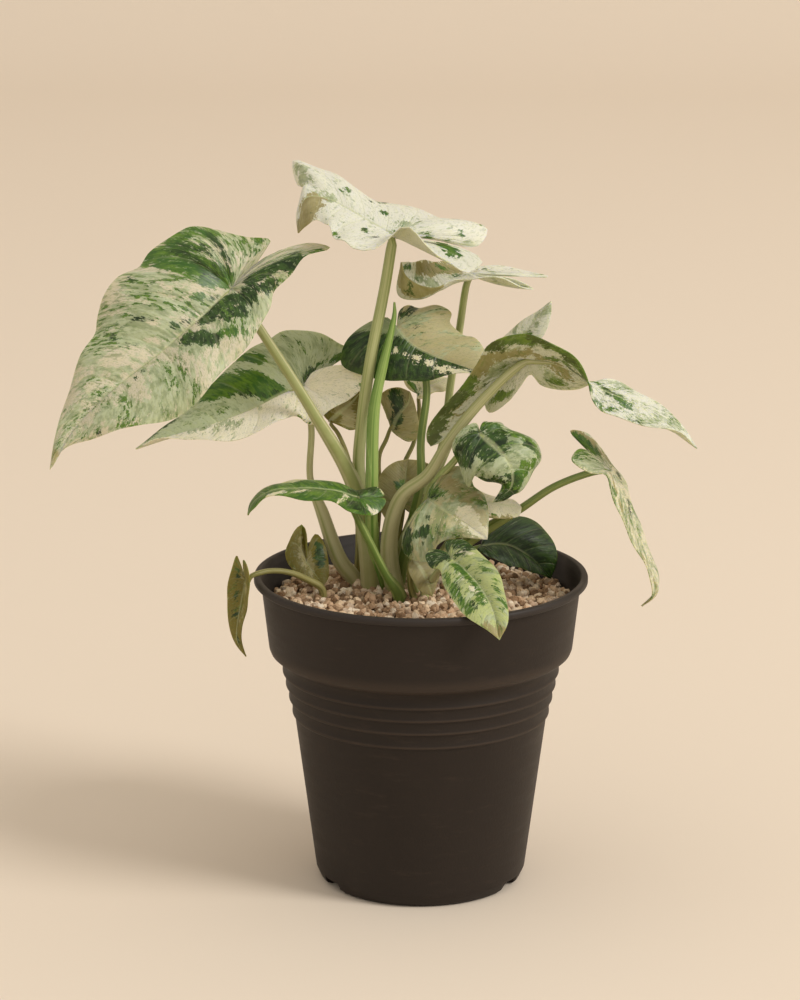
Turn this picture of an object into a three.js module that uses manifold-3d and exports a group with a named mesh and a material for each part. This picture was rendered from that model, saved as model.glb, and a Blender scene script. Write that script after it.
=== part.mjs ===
// Splash giant taro, a variegated aroid, in a plastic nursery pot filled with pumice grit.
// Millimetres, +Z up. The origin is the middle of the pot's base, where it stands.
import * as THREE from "three";
import { mergeVertices } from "three/addons/utils/BufferGeometryUtils.js";
import Module from "manifold-3d";

const wasm = await Module();
wasm.setup();

// Driving dimensions of the pot
const POT_HEIGHT = 114;
const RIM_RADIUS = 60;
const COLLAR_RADIUS = 54.9;
const BODY_TOP_RADIUS = 49.6;
const BODY_FOOT_RADIUS = 38.2;
const BODY_TAPER = 0.13;
const FOOT_RADIUS = 36.8;
const FOOT_HEIGHT = 4.5;
const WALL = 1.4;
const LEDGE_HEIGHT = 84.5;
const RING_HEIGHTS = [62.5, 68, 73, 78];
const RING_STEP = 0.47;
const LIP_HEIGHT = 2.4;
const LIP_STEP = 2.5;
const ROUNDING = 0.6;
const POT_SIDES = 44;

// The pot's underside: a middle disc and a foot ring at the floor, with a raised channel between
const MIDDLE_DISC_RADIUS = 19;
const CHANNEL_OUTER_RADIUS = 33;
const CHANNEL_HEIGHT = 4;
const FLOOR_HEIGHT = 6;
const NOTCH_COUNT = 3;
const NOTCH_WIDTH = 10;
const NOTCH_DEPTH = 12;
const DRAIN_COUNT = 6;
const DRAIN_RADIUS = 3;
const DRAIN_CIRCLE = 26;

// The grit fills the pot to a little under the rim, and its grains stand out as relief
const GRIT_HEIGHT = 105;
const GRAIN_SIZE = 4.6;
const GRAIN_RELIEF = 1.2;
const GRAIN_SHIFT = 0.84;

// The corm that the stalks grow from, buried in the grit
const CORM_CENTRE = [-8, 14];
const CORM_RADIUS = 13;
const CORM_TOP = 96;
const CORM_BOTTOM = 66;
// Its outline from the bottom up, as shares of the radius and of the height
const CORM_OUTLINE = [[0.55, 0.06], [1, 0.4], [0.96, 0.7], [0.8, 1]];

// Blades and stalks
const CLEARANCE = 0.35;
const SMALLEST_EDGE = 0.01;
const BLADE_THICKNESS = 0.8;
const MIDRIB_DEPTH = 0.7;
const STALK_SIDES = 7;
const STALK_STEP = 15;
const SPEAR_STEPS = 14;
// The stalk's end runs on under the midrib over this share of its length, thinning to a point
const STALK_RUN = 0.14;
const STALK_POINT = 0.5;
// Rows of points: their roots slide down the midrib over the first share of the stations
const STATION_STEP = 7;
const SLIDE = 0.6;
const SHOULDER_COSINE = 0.3;
const SINUS_END = 0.96;
const SMALL_LEAF = 28;
const ROW_SPLITS = [0, 0.1, 0.4, 0.72, 1];
const SMALL_ROW_SPLITS = [0, 0.15, 0.6, 1];

// The newest leaf, still rolled into a spear
const SPEAR = {
  points: [
    [-14.5, 13.5, 97], [-15, 13, 104.5], [-17.5, 10, 123.5], [-17.5, 7, 146], [-16.5, 7, 174],
    [-13.5, 7, 189], [-11, 7, 199.5], [-9.5, 7, 207], [-9.5, 7, 211.5],
  ],
  radii: [2.6, 2.5, 2.4, 2.4, 2.1, 1.8, 1.3, 0.8, 0.35],
};

// The leaves, by points set by eye in the pot's own frame. rib runs from the stalk's end to the tip.
// left and right are the margins, seen on the upper face with the tip away: each runs from the tip
// out round its rear lobe to the notch at the stalk. arch is how far each half is arched.
const LEAVES = [
  {
    name: "leaf_big_left",
    look: "marbled",
    stalk: [
      [-19, 11, 97], [-18.5, 12, 105], [-23.5, 13, 141.5], [-39.5, 9, 172.5], [-57, 8, 201],
      [-63.5, 6, 212],
    ],
    stalkRadii: [4.2, 4.0, 3.2, 2.0, 1.7, 1.5],
    rib: [
      [-67, 2, 217], [-77, -8, 209], [-91, -17, 198], [-108, -27, 186], [-120, -34, 174.5],
      [-128, -40, 162],
    ],
    left: [
      [-123.5, -37, 168.5], [-112, -37, 173], [-96, -36, 177], [-84, -33, 180], [-76, -30, 185],
      [-68, -23, 195], [-60.5, -17, 201], [-56, -9, 206.5], [-53, -5, 212.5], [-52, -2, 218.5],
      [-46, 0, 223.5], [-41, 2, 228.5], [-32, 5, 231], [-39, 8, 233], [-48, 7, 231.5],
      [-58.5, 4, 225],
    ],
    right: [
      [-127, -36, 169.5], [-124.5, -30, 179.5], [-119, -18, 196.5], [-114, -12, 204],
      [-113.5, -8, 209.5], [-111.5, -4, 216], [-107, 0, 221], [-99.5, 3, 225], [-95.5, 6, 230.5],
      [-87.5, 9, 235], [-81.5, 11, 237.5], [-72.5, 12, 237], [-61.5, 12, 234], [-53.5, 12, 233],
      [-56.5, 9, 230], [-62, 5, 224],
    ],
    arch: [0.1, 0.15],
  },
  {
    name: "leaf_long_left",
    look: "marbled",
    stalk: [
      [-24, 19, 97], [-23.5, 19, 105], [-29.5, 19, 113.5], [-36, 20, 131.5], [-40, 20, 143.5],
      [-39.5, 21, 162], [-41, 22, 172.5],
    ],
    stalkRadii: [3.4, 3.2, 3.0, 2.4, 1.25, 1.2, 1.1],
    rib: [
      [-42.5, 22, 178], [-49.5, 20, 175.5], [-61.5, 17, 170], [-75.5, 13, 165.5], [-90, 9, 162],
      [-102, 5, 158.5],
    ],
    left: [
      [-92.5, 3, 163.5], [-81, 2, 162.5], [-69, 3, 162.5], [-57.5, 6, 165], [-49.5, 9, 168.5],
      [-44.5, 12, 169.5], [-39.5, 12, 166], [-33, 13, 170.5], [-25.5, 14, 175], [-21.5, 15, 179.5],
      [-21.5, 17, 183.5], [-25.5, 20, 185.5], [-33, 22, 185], [-39, 22, 183],
    ],
    right: [
      [-93.5, 12, 164], [-83, 18, 171], [-75, 23, 178.5], [-69.5, 27, 184], [-62, 30, 189.5],
      [-55.5, 32, 192.5], [-50, 33, 196], [-43, 34, 196], [-36, 34, 194.5], [-29.5, 33, 191],
      [-24.5, 31, 189], [-29, 29, 186.5], [-37, 26, 183.5],
    ],
    arch: [-0.05, 0.1],
  },
  {
    name: "leaf_top_white",
    look: "pale",
    stalk: [
      [-13, 20, 97], [-15.5, 20, 105.5], [-20.5, 19, 136], [-22.5, 17, 148], [-21, 13, 168],
      [-18, 10, 189.5], [-13, 9, 215.5], [-10.5, 8, 231.5],
    ],
    stalkRadii: [3.0, 2.9, 2.6, 2.3, 2.2, 2.1, 2.0, 1.9],
    rib: [
      [-9.5, 8, 235], [-17.5, 11, 239], [-26.5, 15, 243.5], [-35, 18, 247], [-41, 18, 246.5],
      [-43.5, 14, 235],
    ],
    left: [
      [-40, 10, 239], [-34.5, 5, 241], [-30, -4, 237], [-24, -9, 234.5], [-17, -10, 234],
      [-12, -9, 236.5], [-8, -10, 240.5], [-4, -12, 241], [0, -13, 237], [5.5, -11, 232],
      [11, -8, 228], [16.5, -4, 224], [21.5, 0, 227.5], [15.5, 4, 231], [3, 6, 233.5],
    ],
    right: [
      [-44, 20, 241], [-41, 28, 249.5], [-44.5, 34, 250], [-46, 38, 257], [-39, 38, 255.5],
      [-31, 37, 253], [-25, 35, 248], [-18.5, 33, 244], [-12, 32, 243], [0.5, 28, 240.5],
      [10.5, 26, 237.5], [19, 24, 237], [23.5, 20, 235], [20, 14, 230.5], [6.5, 10, 233],
    ],
    arch: [0.05, 0.15],
  },
  {
    name: "leaf_top_right",
    look: "marbled",
    stalk: [
      [-6, 23, 97], [-9.5, 23, 103.5], [0, 23, 135], [7.5, 26, 153.5], [11, 30, 177.5],
      [14, 31, 196], [16.5, 26, 214.5],
    ],
    stalkRadii: [2.6, 2.5, 2.0, 1.5, 1.45, 1.4, 1.3],
    rib: [
      [17.5, 25, 218.5], [8.5, 20, 215], [0, 16, 211.5], [-7.5, 14, 213], [-7, 17, 224],
    ],
    left: [
      [-5, 9, 220.5], [-1, 7, 217.5], [6, 9, 217], [13, 13, 218.5], [20, 13, 219.5],
      [29, 14, 218.5], [35, 15, 216], [40.5, 18, 214.5], [35.5, 20, 216.5], [26.5, 22, 218],
    ],
    right: [
      [-3.5, 24, 223], [3.5, 29, 222.5], [11.5, 33, 220.5], [19.5, 35, 219.5], [27, 37, 219.5],
      [37.5, 36, 217.5], [46.5, 32, 216], [37.5, 28, 216.5], [26.5, 26, 217.5],
    ],
    arch: [-0.1, -0.1],
  },
  {
    name: "leaf_middle_dark",
    look: "dark",
    stalk: [
      [-6, 16, 97], [-7.5, 16, 106], [-3, 15, 129.5], [0, 15, 144], [0, 17, 158.5], [2, 20, 178.5],
      [-1.5, 22, 191], [-7, 21, 198.5],
    ],
    stalkRadii: [2.2, 2.1, 1.8, 1.6, 1.5, 1.4, 1.3, 1.2],
    rib: [
      [-8.5, 20, 200], [-3, 17, 194], [4, 15, 190.5], [12.5, 14, 187.5], [21.5, 12, 184.5],
    ],
    left: [
      [23.5, 16, 190], [19.5, 19, 196], [15, 21, 197], [10.5, 24, 200.5], [11, 27, 204],
      [5.5, 29, 206], [-0.5, 28, 205.5], [-4.5, 27, 206.5], [-7.5, 25, 205],
    ],
    right: [
      [14.5, 11, 185], [8.5, 11, 184], [1.5, 11, 182], [-5.5, 12, 182], [-13, 13, 182],
      [-20, 15, 183], [-28.5, 17, 187], [-27.5, 19, 193.5], [-23, 21, 198.5], [-16.5, 23, 202],
      [-12, 22, 203],
    ],
    arch: [0.1, 0.1],
  },
  {
    name: "leaf_right_arching",
    look: "marbled",
    stalk: [
      [-5, 7, 97], [-9, 7, 105.5], [-11.5, 7, 123.5], [-7, 5, 141], [2.5, 3, 149.5],
      [9.5, 1, 161.5], [18.5, -1, 174], [30.5, -4, 187.5], [35.5, -4, 191.5],
    ],
    stalkRadii: [3.6, 3.5, 3.2, 2.7, 2.3, 2.0, 1.9, 1.6, 1.4],
    rib: [
      [37.5, -2, 192.5], [46, -5, 192.5], [54, -8, 189.5], [60, -10, 185], [73.5, -10, 179],
      [86, -10, 171], [97.5, -9, 162],
    ],
    left: [
      [92, -6, 170.5], [84.5, -3, 176.5], [74, -2, 183], [65, -4, 186], [60, -6, 185],
      [55.5, -3, 182.5], [49, 0, 181], [43, 2, 183], [39, 1, 187], [35, 3, 181.5], [31, 5, 176],
      [24.5, 6, 172], [22.5, 6, 177.5], [26.5, 5, 185],
    ],
    right: [
      [91, -14, 169], [79.5, -16, 172], [68.5, -16, 175], [63, -15, 177], [60, -14, 181],
      [58, -15, 189], [53, -16, 196.5], [47, -16, 201.5], [39, -15, 204], [31.5, -12, 203],
      [23.5, -7, 199], [19.5, -1, 191], [14, 5, 181], [7, 7, 172.5], [2, 8, 164], [3, 7, 159],
      [11, 6, 164], [20.5, 6, 174.5], [30, 4, 185],
    ],
    arch: [-0.1, -0.1],
  },
  {
    name: "leaf_pale_upright",
    look: "pale",
    stalk: [
      [4, 23, 97], [-2.5, 23, 103.5], [0, 19, 128.5], [7, 16, 149], [15, 14, 167], [24, 13, 179],
    ],
    stalkRadii: [1.8, 1.7, 1.5, 1.2, 1.1, 1.0],
    rib: [
      [30.5, 13, 187], [34.5, 13, 194], [40.5, 14, 203], [46.5, 14, 210.5],
    ],
    left: [
      [42, 17, 206.5], [35.5, 18, 202], [30.5, 18, 197.5], [26, 17, 192], [24, 15, 186],
      [27, 14, 184],
    ],
    right: [
      [46, 10, 205], [44, 8, 200.5], [39.5, 8, 194], [35.5, 9, 188.5], [32.5, 11, 184.5],
    ],
    arch: [0.1, 0.1],
  },
  {
    name: "leaf_right_marbled",
    look: "marbled",
    stalk: [
      [3, 11, 97], [-3, 11, 106.5], [-0.5, 7, 128], [4, 2, 145.5], [11.5, -2, 155.5],
      [17.5, -6, 164],
    ],
    stalkRadii: [1.9, 1.8, 1.6, 1.4, 1.3, 1.2],
    rib: [
      [20.5, -9, 167.5], [27, -13, 162.5], [31.5, -15, 156.5], [31.5, -15, 149.5],
      [25.5, -13, 143.5],
    ],
    left: [
      [29.5, -14, 144.5], [32.5, -14, 146.5], [35.5, -12, 147.5], [39, -9, 153], [43, -6, 158],
      [40.5, -4, 163], [35.5, -2, 165.5], [27, -3, 170], [22, -5, 170.5],
    ],
    right: [
      [28.5, -13, 150], [23, -13, 151], [18.5, -12, 153], [16.5, -11, 148.5], [14.5, -11, 153.5],
      [12.5, -10, 158], [11, -9, 162.5], [13.5, -7, 167.5], [17, -6, 170], [19.5, -6, 170.5],
    ],
    arch: [0.2, 0.2],
  },
  {
    name: "leaf_far_right",
    look: "marbled",
    stalk: [
      [6, 17, 97], [-1, 16, 105.5], [10, 12, 117], [24, 8, 128.5], [35.5, 4, 136.5],
      [47, 0, 145.5], [58, -3, 151], [64.5, -5, 153],
    ],
    stalkRadii: [2.3, 2.3, 2.3, 2.2, 1.5, 1.35, 1.3, 1.25],
    rib: [
      [67.5, -4, 152.5], [71.5, -5, 143.5], [77, -7, 130], [82, -8, 117.5], [84.5, -8, 109],
      [79, -7, 103.5],
    ],
    left: [
      [85.5, 0, 109], [83.5, 6, 118.5], [79.5, 9, 128.5], [75.5, 9, 139.5], [72.5, 5, 148],
      [68.5, 6, 153], [64, 8, 158.5], [59.5, 9, 163.5], [53.5, 8, 164.5], [58, 5, 159.5],
      [63, 1, 156],
    ],
    right: [
      [82, -13, 108.5], [81, -18, 118], [75.5, -21, 129], [70, -20, 140.5], [67, -14, 148],
      [65, -11, 153], [60, -12, 154], [53, -11, 158.5], [56, -9, 162], [62, -6, 158.5],
    ],
    arch: [0.0, 0.0],
  },
  {
    name: "leaf_low_left",
    look: "marbled",
    stalk: [
      [-7, -2, 97], [-8, -4, 107.5], [-12.5, -6, 115], [-18, -9, 127], [-22.5, -11, 137],
      [-24.5, -12, 143],
    ],
    stalkRadii: [2.8, 2.6, 1.7, 1.5, 1.4, 1.2],
    rib: [
      [-22.5, -11, 144.5], [-31, -15, 148], [-42.5, -18, 149.5], [-53, -20, 149], [-59, -20, 145],
      [-61, -20, 140.5],
    ],
    left: [
      [-59, -24, 144], [-54.5, -25, 148.5], [-42.5, -27, 148.5], [-32, -26, 147], [-25, -22, 143],
      [-19.5, -17, 139.5], [-15, -13, 140], [-12.5, -10, 143.5], [-17.5, -10, 144.5],
    ],
    right: [
      [-60, -16, 144], [-55, -11, 148], [-42, -7, 150], [-31.5, -4, 148.5], [-24.5, -3, 145.5],
      [-19.5, -3, 146], [-15.5, -4, 146.5], [-13, -6, 144], [-17.5, -8, 144.5],
    ],
    arch: [0.05, 0.1],
  },
  {
    name: "leaf_side_olive",
    look: "olive",
    stalk: [
      [-35, 16, 97], [-35.5, 16, 104], [-37.5, 16, 107.5], [-40, 14, 112.5],
    ],
    stalkRadii: [1.6, 1.5, 1.2, 1.0],
    rib: [
      [-41.5, 11, 115], [-39.5, 10, 112], [-37, 9, 109], [-35, 8, 107],
    ],
    left: [
      [-33.5, 10, 109.5], [-33.5, 12, 114.5], [-34.5, 14, 119.5], [-36, 16, 122.5], [-38, 17, 124],
      [-40, 14, 122], [-41, 12, 118.5],
    ],
    right: [
      [-39, 7, 108], [-43.5, 7, 111], [-47.5, 8, 114.5], [-49, 9, 119], [-47.5, 11, 123],
      [-45.5, 13, 126.5], [-43, 15, 128], [-41.5, 13, 125.5], [-41.5, 11, 120.5],
    ],
    arch: [0.1, 0.1],
  },
  {
    name: "leaf_side_hanging",
    look: "dark",
    stalk: [
      [-36, 1, 97], [-35.5, 1, 107.5], [-40.5, -1, 111.5], [-47, -5, 115.5], [-53, -8, 117],
      [-57.5, -11, 117], [-60.5, -12, 116],
    ],
    stalkRadii: [1.7, 1.5, 1.3, 1.1, 1.0, 1.0, 0.9],
    rib: [
      [-62, -12, 114.5], [-63.5, -13, 107.5], [-65, -14, 99.5], [-65.5, -14, 93],
      [-62.5, -13, 86.5],
    ],
    left: [
      [-64, -15, 93.5], [-63.5, -17, 99.5], [-61.5, -19, 108], [-61, -18, 114.5],
      [-61.5, -17, 121], [-63, -15, 123], [-63, -13, 118.5],
    ],
    right: [
      [-66, -13, 91], [-68.5, -12, 97.5], [-69, -11, 106], [-69, -11, 112], [-67.5, -11, 118],
      [-65.5, -11, 123.5], [-64.5, -11, 119],
    ],
    arch: [0.05, 0.05],
  },
  {
    name: "leaf_over_rim",
    look: "marbled",
    stalk: [
      [7, -3, 97], [1, -3, 107.5], [4, -9, 114], [7, -19, 121], [9.5, -26, 125],
    ],
    stalkRadii: [1.6, 1.5, 1.4, 1.2, 1.1],
    rib: [
      [10.5, -28, 127], [17, -39, 124], [22, -50, 120], [25, -59, 115], [26.5, -64, 108],
    ],
    left: [
      [29, -63, 113], [29.5, -59, 116.5], [28.5, -52, 121], [26.5, -42, 126], [22, -34, 129],
      [17.5, -27, 131.5], [13.5, -24, 133], [8.5, -23, 131.5], [9.5, -25, 129.5],
    ],
    right: [
      [23, -64, 111], [16.5, -61, 114.5], [11, -51, 118], [7.5, -42, 122], [6.5, -35, 124.5],
      [3, -29, 124.5], [1.5, -26, 127.5], [4, -25, 129.5], [8, -26, 129],
    ],
    arch: [0.15, 0.1],
  },
  {
    name: "leaf_back_dark",
    look: "dark",
    stalk: [
      [10, 22, 97], [1.5, 21, 105.5], [7, 17, 111], [18, 14, 118],
    ],
    stalkRadii: [2.0, 2.0, 1.7, 1.4],
    rib: [
      [22, 12, 120.5], [30.5, 16, 120], [40, 18, 114.5], [47.5, 19, 106.5],
    ],
    left: [
      [50, 22, 112.5], [48, 25, 120], [42.5, 27, 125.5], [36.5, 27, 128], [29, 24, 126.5],
      [24, 19, 124], [22.5, 15, 122],
    ],
    right: [
      [43.5, 14, 109.5], [36, 10, 113], [28.5, 8, 116], [24.5, 8, 118], [20.5, 9, 120],
    ],
    arch: [0.1, 0.1],
  },
  {
    name: "leaf_centre_pale",
    look: "marbled",
    stalk: [
      [5, 4, 97], [-1, 4, 107], [-2.5, 3, 121.5], [-0.5, 0, 133.5], [2, -2, 140.5],
    ],
    stalkRadii: [1.9, 1.8, 1.6, 1.4, 1.2],
    rib: [
      [2.5, -3, 142], [9, -7, 138.5], [16.5, -9, 134], [23.5, -10, 129],
    ],
    left: [
      [24, -6, 136], [22.5, -2, 143.5], [19, 0, 145.5], [17, 2, 151.5], [11, 2, 152.5],
      [6, 1, 148], [3, -1, 145.5],
    ],
    right: [
      [17.5, -12, 130], [10, -12, 130], [6, -13, 128], [3, -13, 122.5], [-1, -12, 121.5],
      [-5.5, -10, 123.5], [-7, -8, 127], [-4.5, -5, 133.5], [-0.5, -3, 139],
    ],
    arch: [0.15, 0.15],
  },
  {
    name: "leaf_centre_white",
    look: "pale",
    stalk: [
      [11, 9, 97], [3, 9, 107.5], [8.5, 6, 121.5], [18.5, 4, 134],
    ],
    stalkRadii: [1.6, 1.5, 1.3, 1.1],
    rib: [
      [23.5, 4, 139], [28.5, 2, 138.5], [36, 1, 138],
    ],
    left: [
      [33.5, 5, 139.5], [28.5, 8, 139.5], [23.5, 8, 141], [20.5, 9, 142.5], [17, 10, 145],
      [17.5, 7, 141.5],
    ],
    right: [
      [35, -2, 135.5], [30, -3, 135], [23.5, -3, 135.5], [20.5, 0, 138],
    ],
    arch: [0.1, 0.05],
  },
  {
    name: "leaf_back_olive",
    look: "olive",
    stalk: [
      [-13, 27, 97], [-13.5, 27, 103.5], [-9.5, 24, 116], [-7, 24, 129],
    ],
    stalkRadii: [1.9, 1.8, 1.5, 1.2],
    rib: [
      [-6.5, 22, 133.5], [-6, 24, 138], [-5.5, 26.5, 142.5], [-4.5, 28.5, 149],
    ],
    left: [
      [-9.5, 28, 148], [-14, 25, 145], [-16, 22, 139], [-15, 20, 133], [-12, 19, 128.5],
      [-9, 19, 130],
    ],
    right: [
      [0, 28, 148.5], [4, 26, 147], [5.5, 24, 141.5], [2.5, 21, 135.5], [-1, 19, 130.5],
      [-4.5, 20, 131.5],
    ],
    arch: [0.1, 0.1],
  },
  {
    name: "leaf_back_cream",
    look: "pale",
    stalk: [
      [-1, 28, 97], [-9, 29, 103], [-7, 31, 133], [-6, 31, 146.5], [-2.5, 32, 154.5],
      [-0.5, 34, 166],
    ],
    stalkRadii: [1.5, 1.4, 1.1, 0.9, 0.8, 0.8],
    rib: [
      [-1, 34, 172.5], [1.5, 35, 174.5], [5.5, 36, 176], [10.5, 37, 177.5],
    ],
    left: [
      [5, 38, 178], [-1, 39, 178.5], [-6, 37, 177.5], [-4.5, 35, 174],
    ],
    right: [
      [9.5, 33, 174], [5, 31, 173.5], [1, 30, 171.5], [-1, 32, 171],
    ],
    arch: [0.05, 0.05],
  },
  {
    name: "leaf_back_tan",
    look: "olive",
    stalk: [
      [-19, 27, 97], [-18, 27, 103.5], [-15, 27, 134], [-15, 27, 151], [-12.5, 28, 156.5],
    ],
    stalkRadii: [1.5, 1.4, 1.0, 0.8, 0.8],
    rib: [
      [-10.5, 27, 160.5], [-9, 26, 164.5], [-7, 26, 167.5], [-4.5, 27, 170.5], [-4, 28, 174.5],
    ],
    left: [
      [-8, 28, 176], [-12.5, 28, 175], [-15, 27, 172.5], [-13.5, 26, 170], [-11, 26, 166.5],
      [-11, 26, 163],
    ],
    right: [
      [-2.5, 29, 170.5], [-1, 28, 164.5], [-0.5, 26, 158.5], [-4, 25, 156.5], [-7.5, 25, 158],
      [-9.5, 26, 159.5],
    ],
    arch: [0.05, 0.05],
  },
  {
    name: "leaf_back_left",
    look: "olive",
    stalk: [
      [-26, 26, 97], [-23.5, 26, 104], [-23, 26, 130.5], [-26.5, 25, 151], [-30, 25, 159.5],
    ],
    stalkRadii: [1.6, 1.5, 1.2, 0.8, 0.8],
    rib: [
      [-33, 22, 165], [-29, 24, 168], [-25.5, 27, 170], [-21.5, 30, 174],
    ],
    left: [
      [-25.5, 31, 173.5], [-30, 30, 171.5], [-33.5, 27, 169.5], [-35, 24, 166.5],
    ],
    right: [
      [-20, 27, 168.5], [-21.5, 24, 163], [-25, 22, 161.5], [-29, 21, 163.5],
    ],
    arch: [0.05, 0.05],
  },
  {
    name: "leaf_withered",
    look: "olive",
    stalk: [
      [2, -3, 97], [-3, -3, 107], [-4, -4, 112.5], [-4, -6, 118],
    ],
    stalkRadii: [1.4, 1.3, 1.1, 1.0],
    rib: [
      [-3, -8, 121], [-0.5, -9, 118.5], [2, -10, 114], [4, -10, 108],
    ],
    left: [
      [5.5, -9, 112], [6.5, -8, 116.5], [2.5, -6, 119.5], [-1, -6, 121],
    ],
    right: [
      [-0.5, -11, 110.5], [-3, -11, 114.5], [-4.5, -10, 118.5],
    ],
    arch: [0.05, 0.05],
  },
];

// Colours seen from a step away; roughness as of a waxy leaf, a damp stone and moulded plastic
const material = (color, roughness) =>
  new THREE.MeshStandardMaterial({ color, roughness, metalness: 0 });
const potPlastic = material(0x322c29, 0.6);
const gritStone = material(0xb89f85, 0.95);
const cormSkin = material(0x6b5138, 0.85);
const newLeafSkin = material(0x8fc25a, 0.4);
const leafSkins = {
  marbled: material(0xc3cca6, 0.4),
  pale: material(0xdfe0cb, 0.45),
  dark: material(0x3f4f2b, 0.35),
  olive: material(0x8b7b45, 0.55),
};

// A repeatable stream of numbers between 0 and 1
function randomStream(seed) {
  let state = seed;
  return () => {
    state = (state * 1664525 + 1013904223) % 4294967296;
    return state / 4294967296;
  };
}

const toPoints = (list) => list.map(([x, y, z]) => new THREE.Vector3(x, y, z));

function geometryFrom(positions, triangles) {
  const geometry = new THREE.BufferGeometry();
  geometry.setAttribute("position", new THREE.Float32BufferAttribute(positions, 3));
  geometry.setIndex(triangles);
  return geometry;
}

// A closed geometry as a solid that can be cut and joined
function toSolid(geometry) {
  const bare = geometry.clone();
  bare.deleteAttribute("normal");
  bare.deleteAttribute("uv");
  const merged = mergeVertices(bare, 1e-4);
  const triangles = [];
  for (let i = 0; i < merged.index.count; i += 3) {
    const [a, b, c] = [0, 1, 2].map((k) => merged.index.getX(i + k));
    if (a !== b && b !== c && c !== a) triangles.push(a, b, c);
  }
  const mesh = new wasm.Mesh({
    numProp: 3,
    vertProperties: merged.attributes.position.array,
    triVerts: new Uint32Array(triangles),
  });
  return new wasm.Manifold(mesh);
}

function toGeometry(solid) {
  const mesh = solid.getMesh();
  const geometry = new THREE.BufferGeometry();
  const positions = [];
  for (let i = 0; i < mesh.numVert; i++) {
    positions.push(...mesh.vertProperties.subarray(i * mesh.numProp, i * mesh.numProp + 3));
  }
  geometry.setAttribute("position", new THREE.Float32BufferAttribute(positions, 3));
  geometry.setIndex([...mesh.triVerts]);
  geometry.computeVertexNormals();
  return geometry;
}

const largestBody = (solid) =>
  solid.decompose().reduce((best, body) => (body.volume() > best.volume() ? body : best));

// A profile of radius and height points, turned about the pot's axis
function turned(profile, sides) {
  const geometry = new THREE.LatheGeometry(
    profile.map(([radius, height]) => new THREE.Vector2(radius, height)),
    sides,
  );
  geometry.rotateX(Math.PI / 2);
  return geometry;
}

const bodyRadius = (height) => BODY_FOOT_RADIUS + BODY_TAPER * (height - FOOT_HEIGHT);

// The outside of the pot from the foot up to the lip: a tapering body that steps out at four rings,
// a rounded ledge and the wider collar over it
function outerProfile() {
  const rings = RING_HEIGHTS.flatMap((height, i) => [
    [bodyRadius(height - ROUNDING) + i * RING_STEP, height - ROUNDING],
    [bodyRadius(height + ROUNDING) + (i + 1) * RING_STEP, height + ROUNDING],
  ]);
  return [
    [FOOT_RADIUS - 2.6, 0],
    [FOOT_RADIUS, WALL],
    [BODY_FOOT_RADIUS, FOOT_HEIGHT],
    ...rings,
    [BODY_TOP_RADIUS, LEDGE_HEIGHT - 3],
    [BODY_TOP_RADIUS + 1.4, LEDGE_HEIGHT - 0.4],
    [COLLAR_RADIUS - 1.4, LEDGE_HEIGHT + 0.9],
    [COLLAR_RADIUS - 0.3, LEDGE_HEIGHT + 2.7],
    [COLLAR_RADIUS, LEDGE_HEIGHT + 4.5],
    [RIM_RADIUS - LIP_STEP, POT_HEIGHT - LIP_HEIGHT - ROUNDING],
    [RIM_RADIUS, POT_HEIGHT - LIP_HEIGHT],
    [RIM_RADIUS, POT_HEIGHT - ROUNDING],
    [RIM_RADIUS - ROUNDING, POT_HEIGHT],
  ];
}

// The inside of the wall from the lip down to the floor
function innerProfile(inset) {
  return [
    [RIM_RADIUS - LIP_STEP - inset, POT_HEIGHT],
    [COLLAR_RADIUS - WALL - inset, LEDGE_HEIGHT + 6.5],
    [BODY_TOP_RADIUS - WALL - inset, LEDGE_HEIGHT - 2],
    [bodyRadius(RING_HEIGHTS[0]) - WALL - inset, RING_HEIGHTS[0]],
    [FOOT_RADIUS - ROUNDING - inset, FLOOR_HEIGHT + inset],
  ];
}

function pot() {
  const underside = [
    [0, 0],
    [MIDDLE_DISC_RADIUS, 0],
    [MIDDLE_DISC_RADIUS + 1, CHANNEL_HEIGHT],
    [CHANNEL_OUTER_RADIUS - 1, CHANNEL_HEIGHT],
    [CHANNEL_OUTER_RADIUS, 0],
  ];
  const profile = [...underside, ...outerProfile(), ...innerProfile(0), [0, FLOOR_HEIGHT]];
  let body = toSolid(turned(profile, POT_SIDES));
  for (let i = 0; i < NOTCH_COUNT; i++) {
    const notch = new THREE.BoxGeometry(NOTCH_WIDTH, NOTCH_DEPTH, 2 * CHANNEL_HEIGHT);
    notch.translate(0, CHANNEL_OUTER_RADIUS + 2, 0);
    notch.rotateZ((i * 2 * Math.PI) / NOTCH_COUNT);
    body = body.subtract(toSolid(notch));
  }
  for (let i = 0; i < DRAIN_COUNT; i++) {
    const drain = new THREE.CylinderGeometry(DRAIN_RADIUS, DRAIN_RADIUS, 4 * FLOOR_HEIGHT, 10);
    drain.rotateX(Math.PI / 2);
    drain.translate(0, DRAIN_CIRCLE, FLOOR_HEIGHT);
    drain.rotateZ(((i + 0.5) * 2 * Math.PI) / DRAIN_COUNT);
    body = body.subtract(toSolid(drain));
  }
  return body;
}

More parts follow.
